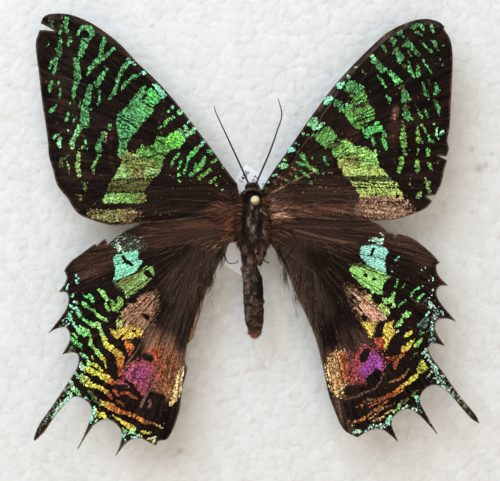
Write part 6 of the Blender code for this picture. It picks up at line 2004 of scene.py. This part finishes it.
def block_surface():
    """A fine grid over the top, rings down the sides, and one face below, set in a little."""
    x = np.linspace(-0.5, 0.5, FOAM_COLUMNS + 1) * BLOCK_SIZE[0]
    y = np.linspace(-0.5, 0.5, FOAM_ROWS + 1) * BLOCK_SIZE[1]
    grid_x, grid_y = np.meshgrid(x, y)
    top = np.stack([grid_x.ravel(), grid_y.ravel(), np.full(grid_x.size, BLOCK_SIZE[2])], 1)
    columns = FOAM_COLUMNS + 1
    row, column = np.mgrid[:FOAM_ROWS, :FOAM_COLUMNS]
    at = (row * columns + column).ravel()
    quads = np.stack([at, at + 1, at + columns + 1, at + columns], 1)
    across, along = np.arange(FOAM_COLUMNS), np.arange(FOAM_ROWS)
    rim = np.concatenate([across, FOAM_COLUMNS + along * columns,
                          FOAM_ROWS * columns + FOAM_COLUMNS - across,
                          (FOAM_ROWS - along) * columns])
    depth = np.concatenate([[0.35, 0.8, 1.4],
                            np.linspace(2.4, BLOCK_SIZE[2] - 0.8, FOAM_LAYERS - 4),
                            [BLOCK_SIZE[2]]])
    sides = np.repeat(top[rim][None], len(depth), 0)
    sides[:, :, 2] -= depth[:, None]
    base = sides[-1:] * np.append(1 - 2 * EDGE_RADIUS / BLOCK_SIZE[:2], 1.0)
    sides = np.concatenate([sides, base])
    rings = np.vstack([rim, len(top) + np.arange(len(sides) * len(rim)).reshape(-1, len(rim))])
    after = np.roll(rings, -1, axis=1)
    walls = np.stack([rings[:-1], rings[1:], after[1:], after[:-1]], 2).reshape(-1, 4)
    return np.vstack([top, sides.reshape(-1, 3)]), [quads, walls, rings[-1][None, ::-1]]

# %% The foam's finish
def build_foam_material():
    """White foam: each bead its own tone, painted shade in thin seams and fine pores, a few stains.
    """
    material, tree, shader = new_material("foam beads", Specular_IOR_Level=0.3)
    warp = noise(tree, object_places(tree, 1.3), 3.0)
    pores = mosaic(tree, object_places(tree, 3.4), 0.3, 0.25).outputs
    holes = cells_round_points(tree, object_places(tree, 0.42)).outputs["Distance"]
    pore_pit_and_shade = remap(tree, holes, 0.05, 0.11, 1.0, 0.0)
    seam = maths(tree, "MULTIPLY_ADD", warp, 0.25, attribute(tree, "seam"))
    seam_groove_and_shade = remap(tree, seam, 0.12, 0.3, 0.55, 0.0)
    stain = attribute(tree, "stain")
    colour = blend_colours(tree, attribute(tree, "bead"), (236, 236, 234), (246, 246, 245))
    colour = blend_colours(tree, remap(tree, warp, 0.3, 0.7, 0.0, 0.35), colour, (226, 225, 222))
    # Painted shade darkens the seams and the pores; the stains are real.
    for mask, strength, dark in ((seam_groove_and_shade, 0.34, (188, 184, 176)), (pore_pit_and_shade, 0.06, (150, 142, 130)),
                                 (stain, 0.55, (168, 142, 96))):
        colour = blend_colours(tree, maths(tree, "MULTIPLY", mask, strength), colour, dark)
    height = maths(tree, "SUBTRACT", maths(tree, "MULTIPLY", warp, 0.5),
                   maths(tree, "MULTIPLY_ADD", pore_pit_and_shade, 0.4, seam_groove_and_shade))
    link_to(tree, shader, Base_Color=colour,
            Roughness=remap(tree, pores["Random"], 0.0, 1.0, 0.6, 0.8),
            Normal=bumped(tree, height, 0.5, 0.24, Normal=pores["Normal"]))
    return material

# %% The foam block
# The cut is rougher between the hindwings than elsewhere: the middle and the reach of that part.
ROUGH_MIDDLE, ROUGH_REACH = (-4, -20), (15, 16)
CALM, ROUGH = 0.68, 1.1
# Stains and specks on the foam's top: x, y, radius.
FOAM_STAINS = [(43.5, 17.2, 0.45), (47.6, 16.3, 0.4), (45.0, 13.3, 0.9), (46.3, 14.0, 0.5),
               (-15.3, -43.6, 0.6), (-16.5, -44.6, 0.3), (30.5, 33.0, 0.25), (-21.0, 42.0, 0.3)]


def build_foam():
    """Each bead tilts its part of the surface, and the surface sinks at the seams."""
    surface, faces = block_surface()
    half = BLOCK_SIZE[:2] / 2 - EDGE_RADIUS
    inner = np.clip(surface, [*-half, EDGE_RADIUS], [*half, BLOCK_SIZE[2] - EDGE_RADIUS])
    outward = unit(surface - inner)
    points = inner + EDGE_RADIUS * outward
    middle, own, seam = bead_cells(points + BEAD_SHIFT)
    tilt = ((points - (middle - BEAD_SHIFT)) * (own - 0.5)).sum(1) * FACET_TILT
    sink = -SEAM_DEPTH * np.exp(-(seam / SEAM_WIDTH) ** 2)
    relief = np.clip(tilt, FACET_LOW, FACET_HIGH) + sink + BEAD_LIFT * (own[:, 0] - 0.5)
    x_share, y_share = ((points[:, :2] - ROUGH_MIDDLE) / ROUGH_REACH).T
    relief *= CALM + ROUGH * np.exp(-x_share ** 2 - y_share ** 2)
    relief[surface[:, 2] < 0.01] = 0
    points = points + outward * relief[:, None]
    points[:, 2] = np.maximum(points[:, 2], 0.0)
    stain = np.zeros(len(points))
    for x, y, radius in FOAM_STAINS:
        away = np.hypot(points[:, 0] - x, points[:, 1] - y)
        stain = np.maximum(stain, np.exp(-(away / radius) ** 2) * (points[:, 2] > 15))
    make_piece("foam_beads", points, faces, build_foam_material(), "foam", ["foam_block"],
               bead=own[:, 1], seam=seam, stain=stain)


build_foam()

# %% [markdown]
# ## Light and camera
#
# The photo was taken by window light: broad and cool from the upper left, with a warm fill from the
# room, here from overhead.  The shadows on the foam are soft and brown, and fall a few millimetres
# to the lower right.

# %% The lights
def add_light(name, place, aim, size, power, colour):
    """A square area light that faces its aim."""
    light = bpy.data.lights.new(name, "AREA")
    light.size = size
    light.energy = power
    light.color = colour
    lamp = bpy.data.objects.new(name, light)
    bpy.context.scene.collection.objects.link(lamp)
    lamp.location = place
    facing = Vector(aim) - Vector(place)
    lamp.rotation_euler = facing.to_track_quat("-Z", "Y").to_euler()


scene = bpy.context.scene
scene.view_settings.view_transform = "Standard"
world = bpy.data.worlds.new("room")
world.use_nodes = True
world.node_tree.nodes["Background"].inputs[0].default_value = (1.0, 0.92, 0.86, 1.0)
world.node_tree.nodes["Background"].inputs[1].default_value = 0.4
scene.world = world
add_light("window", (-0.12, 0.2, 0.36), (-0.02, 0.02, 0.02), 0.3, 1.12, (0.68, 0.84, 0.98))
add_light("room", (0.1, -0.2, 1.5), (0, 0, 0.02), 1.0, 7.2, (1.0, 0.86, 0.68))

# %% The floor
FLOOR_HALF, FLOOR_LEVEL = 2, -0.0002
floor_mesh = bpy.data.meshes.new("floor")
floor_mesh.from_pydata([(x * FLOOR_HALF, y * FLOOR_HALF, 0) for x, y in (
    (-1, -1), (1, -1), (1, 1), (-1, 1))], [], [(0, 1, 2, 3)])
floor_material, _, floor_shader = new_material("floor", Roughness=0.8)
floor_shader.inputs["Base Color"].default_value = (0.62, 0.61, 0.6, 1.0)
floor_mesh.materials.append(floor_material)
floor = bpy.data.objects.new("floor", floor_mesh)
scene.collection.objects.link(floor)
floor.location.z = FLOOR_LEVEL

# %% The camera
# A pixel is this many millimetres wide at the height of the wings.
PIXEL, PHOTO_WIDTH = 0.195, 500
VIEW_DISTANCE, VIEW_MIDDLE, WING_LEVEL = 350.0, -1.17, 31.5
SENSOR = 36.0
camera_data = bpy.data.cameras.new("camera")
camera_data.sensor_width = SENSOR
camera_data.lens = SENSOR * VIEW_DISTANCE / (PHOTO_WIDTH * PIXEL)
camera_data.clip_start, camera_data.clip_end = 0.01, 10.0
camera = bpy.data.objects.new("camera", camera_data)
scene.collection.objects.link(camera)
camera.location = (VIEW_MIDDLE * MM, VIEW_MIDDLE * MM, (WING_LEVEL + VIEW_DISTANCE) * MM)
scene.camera = camera
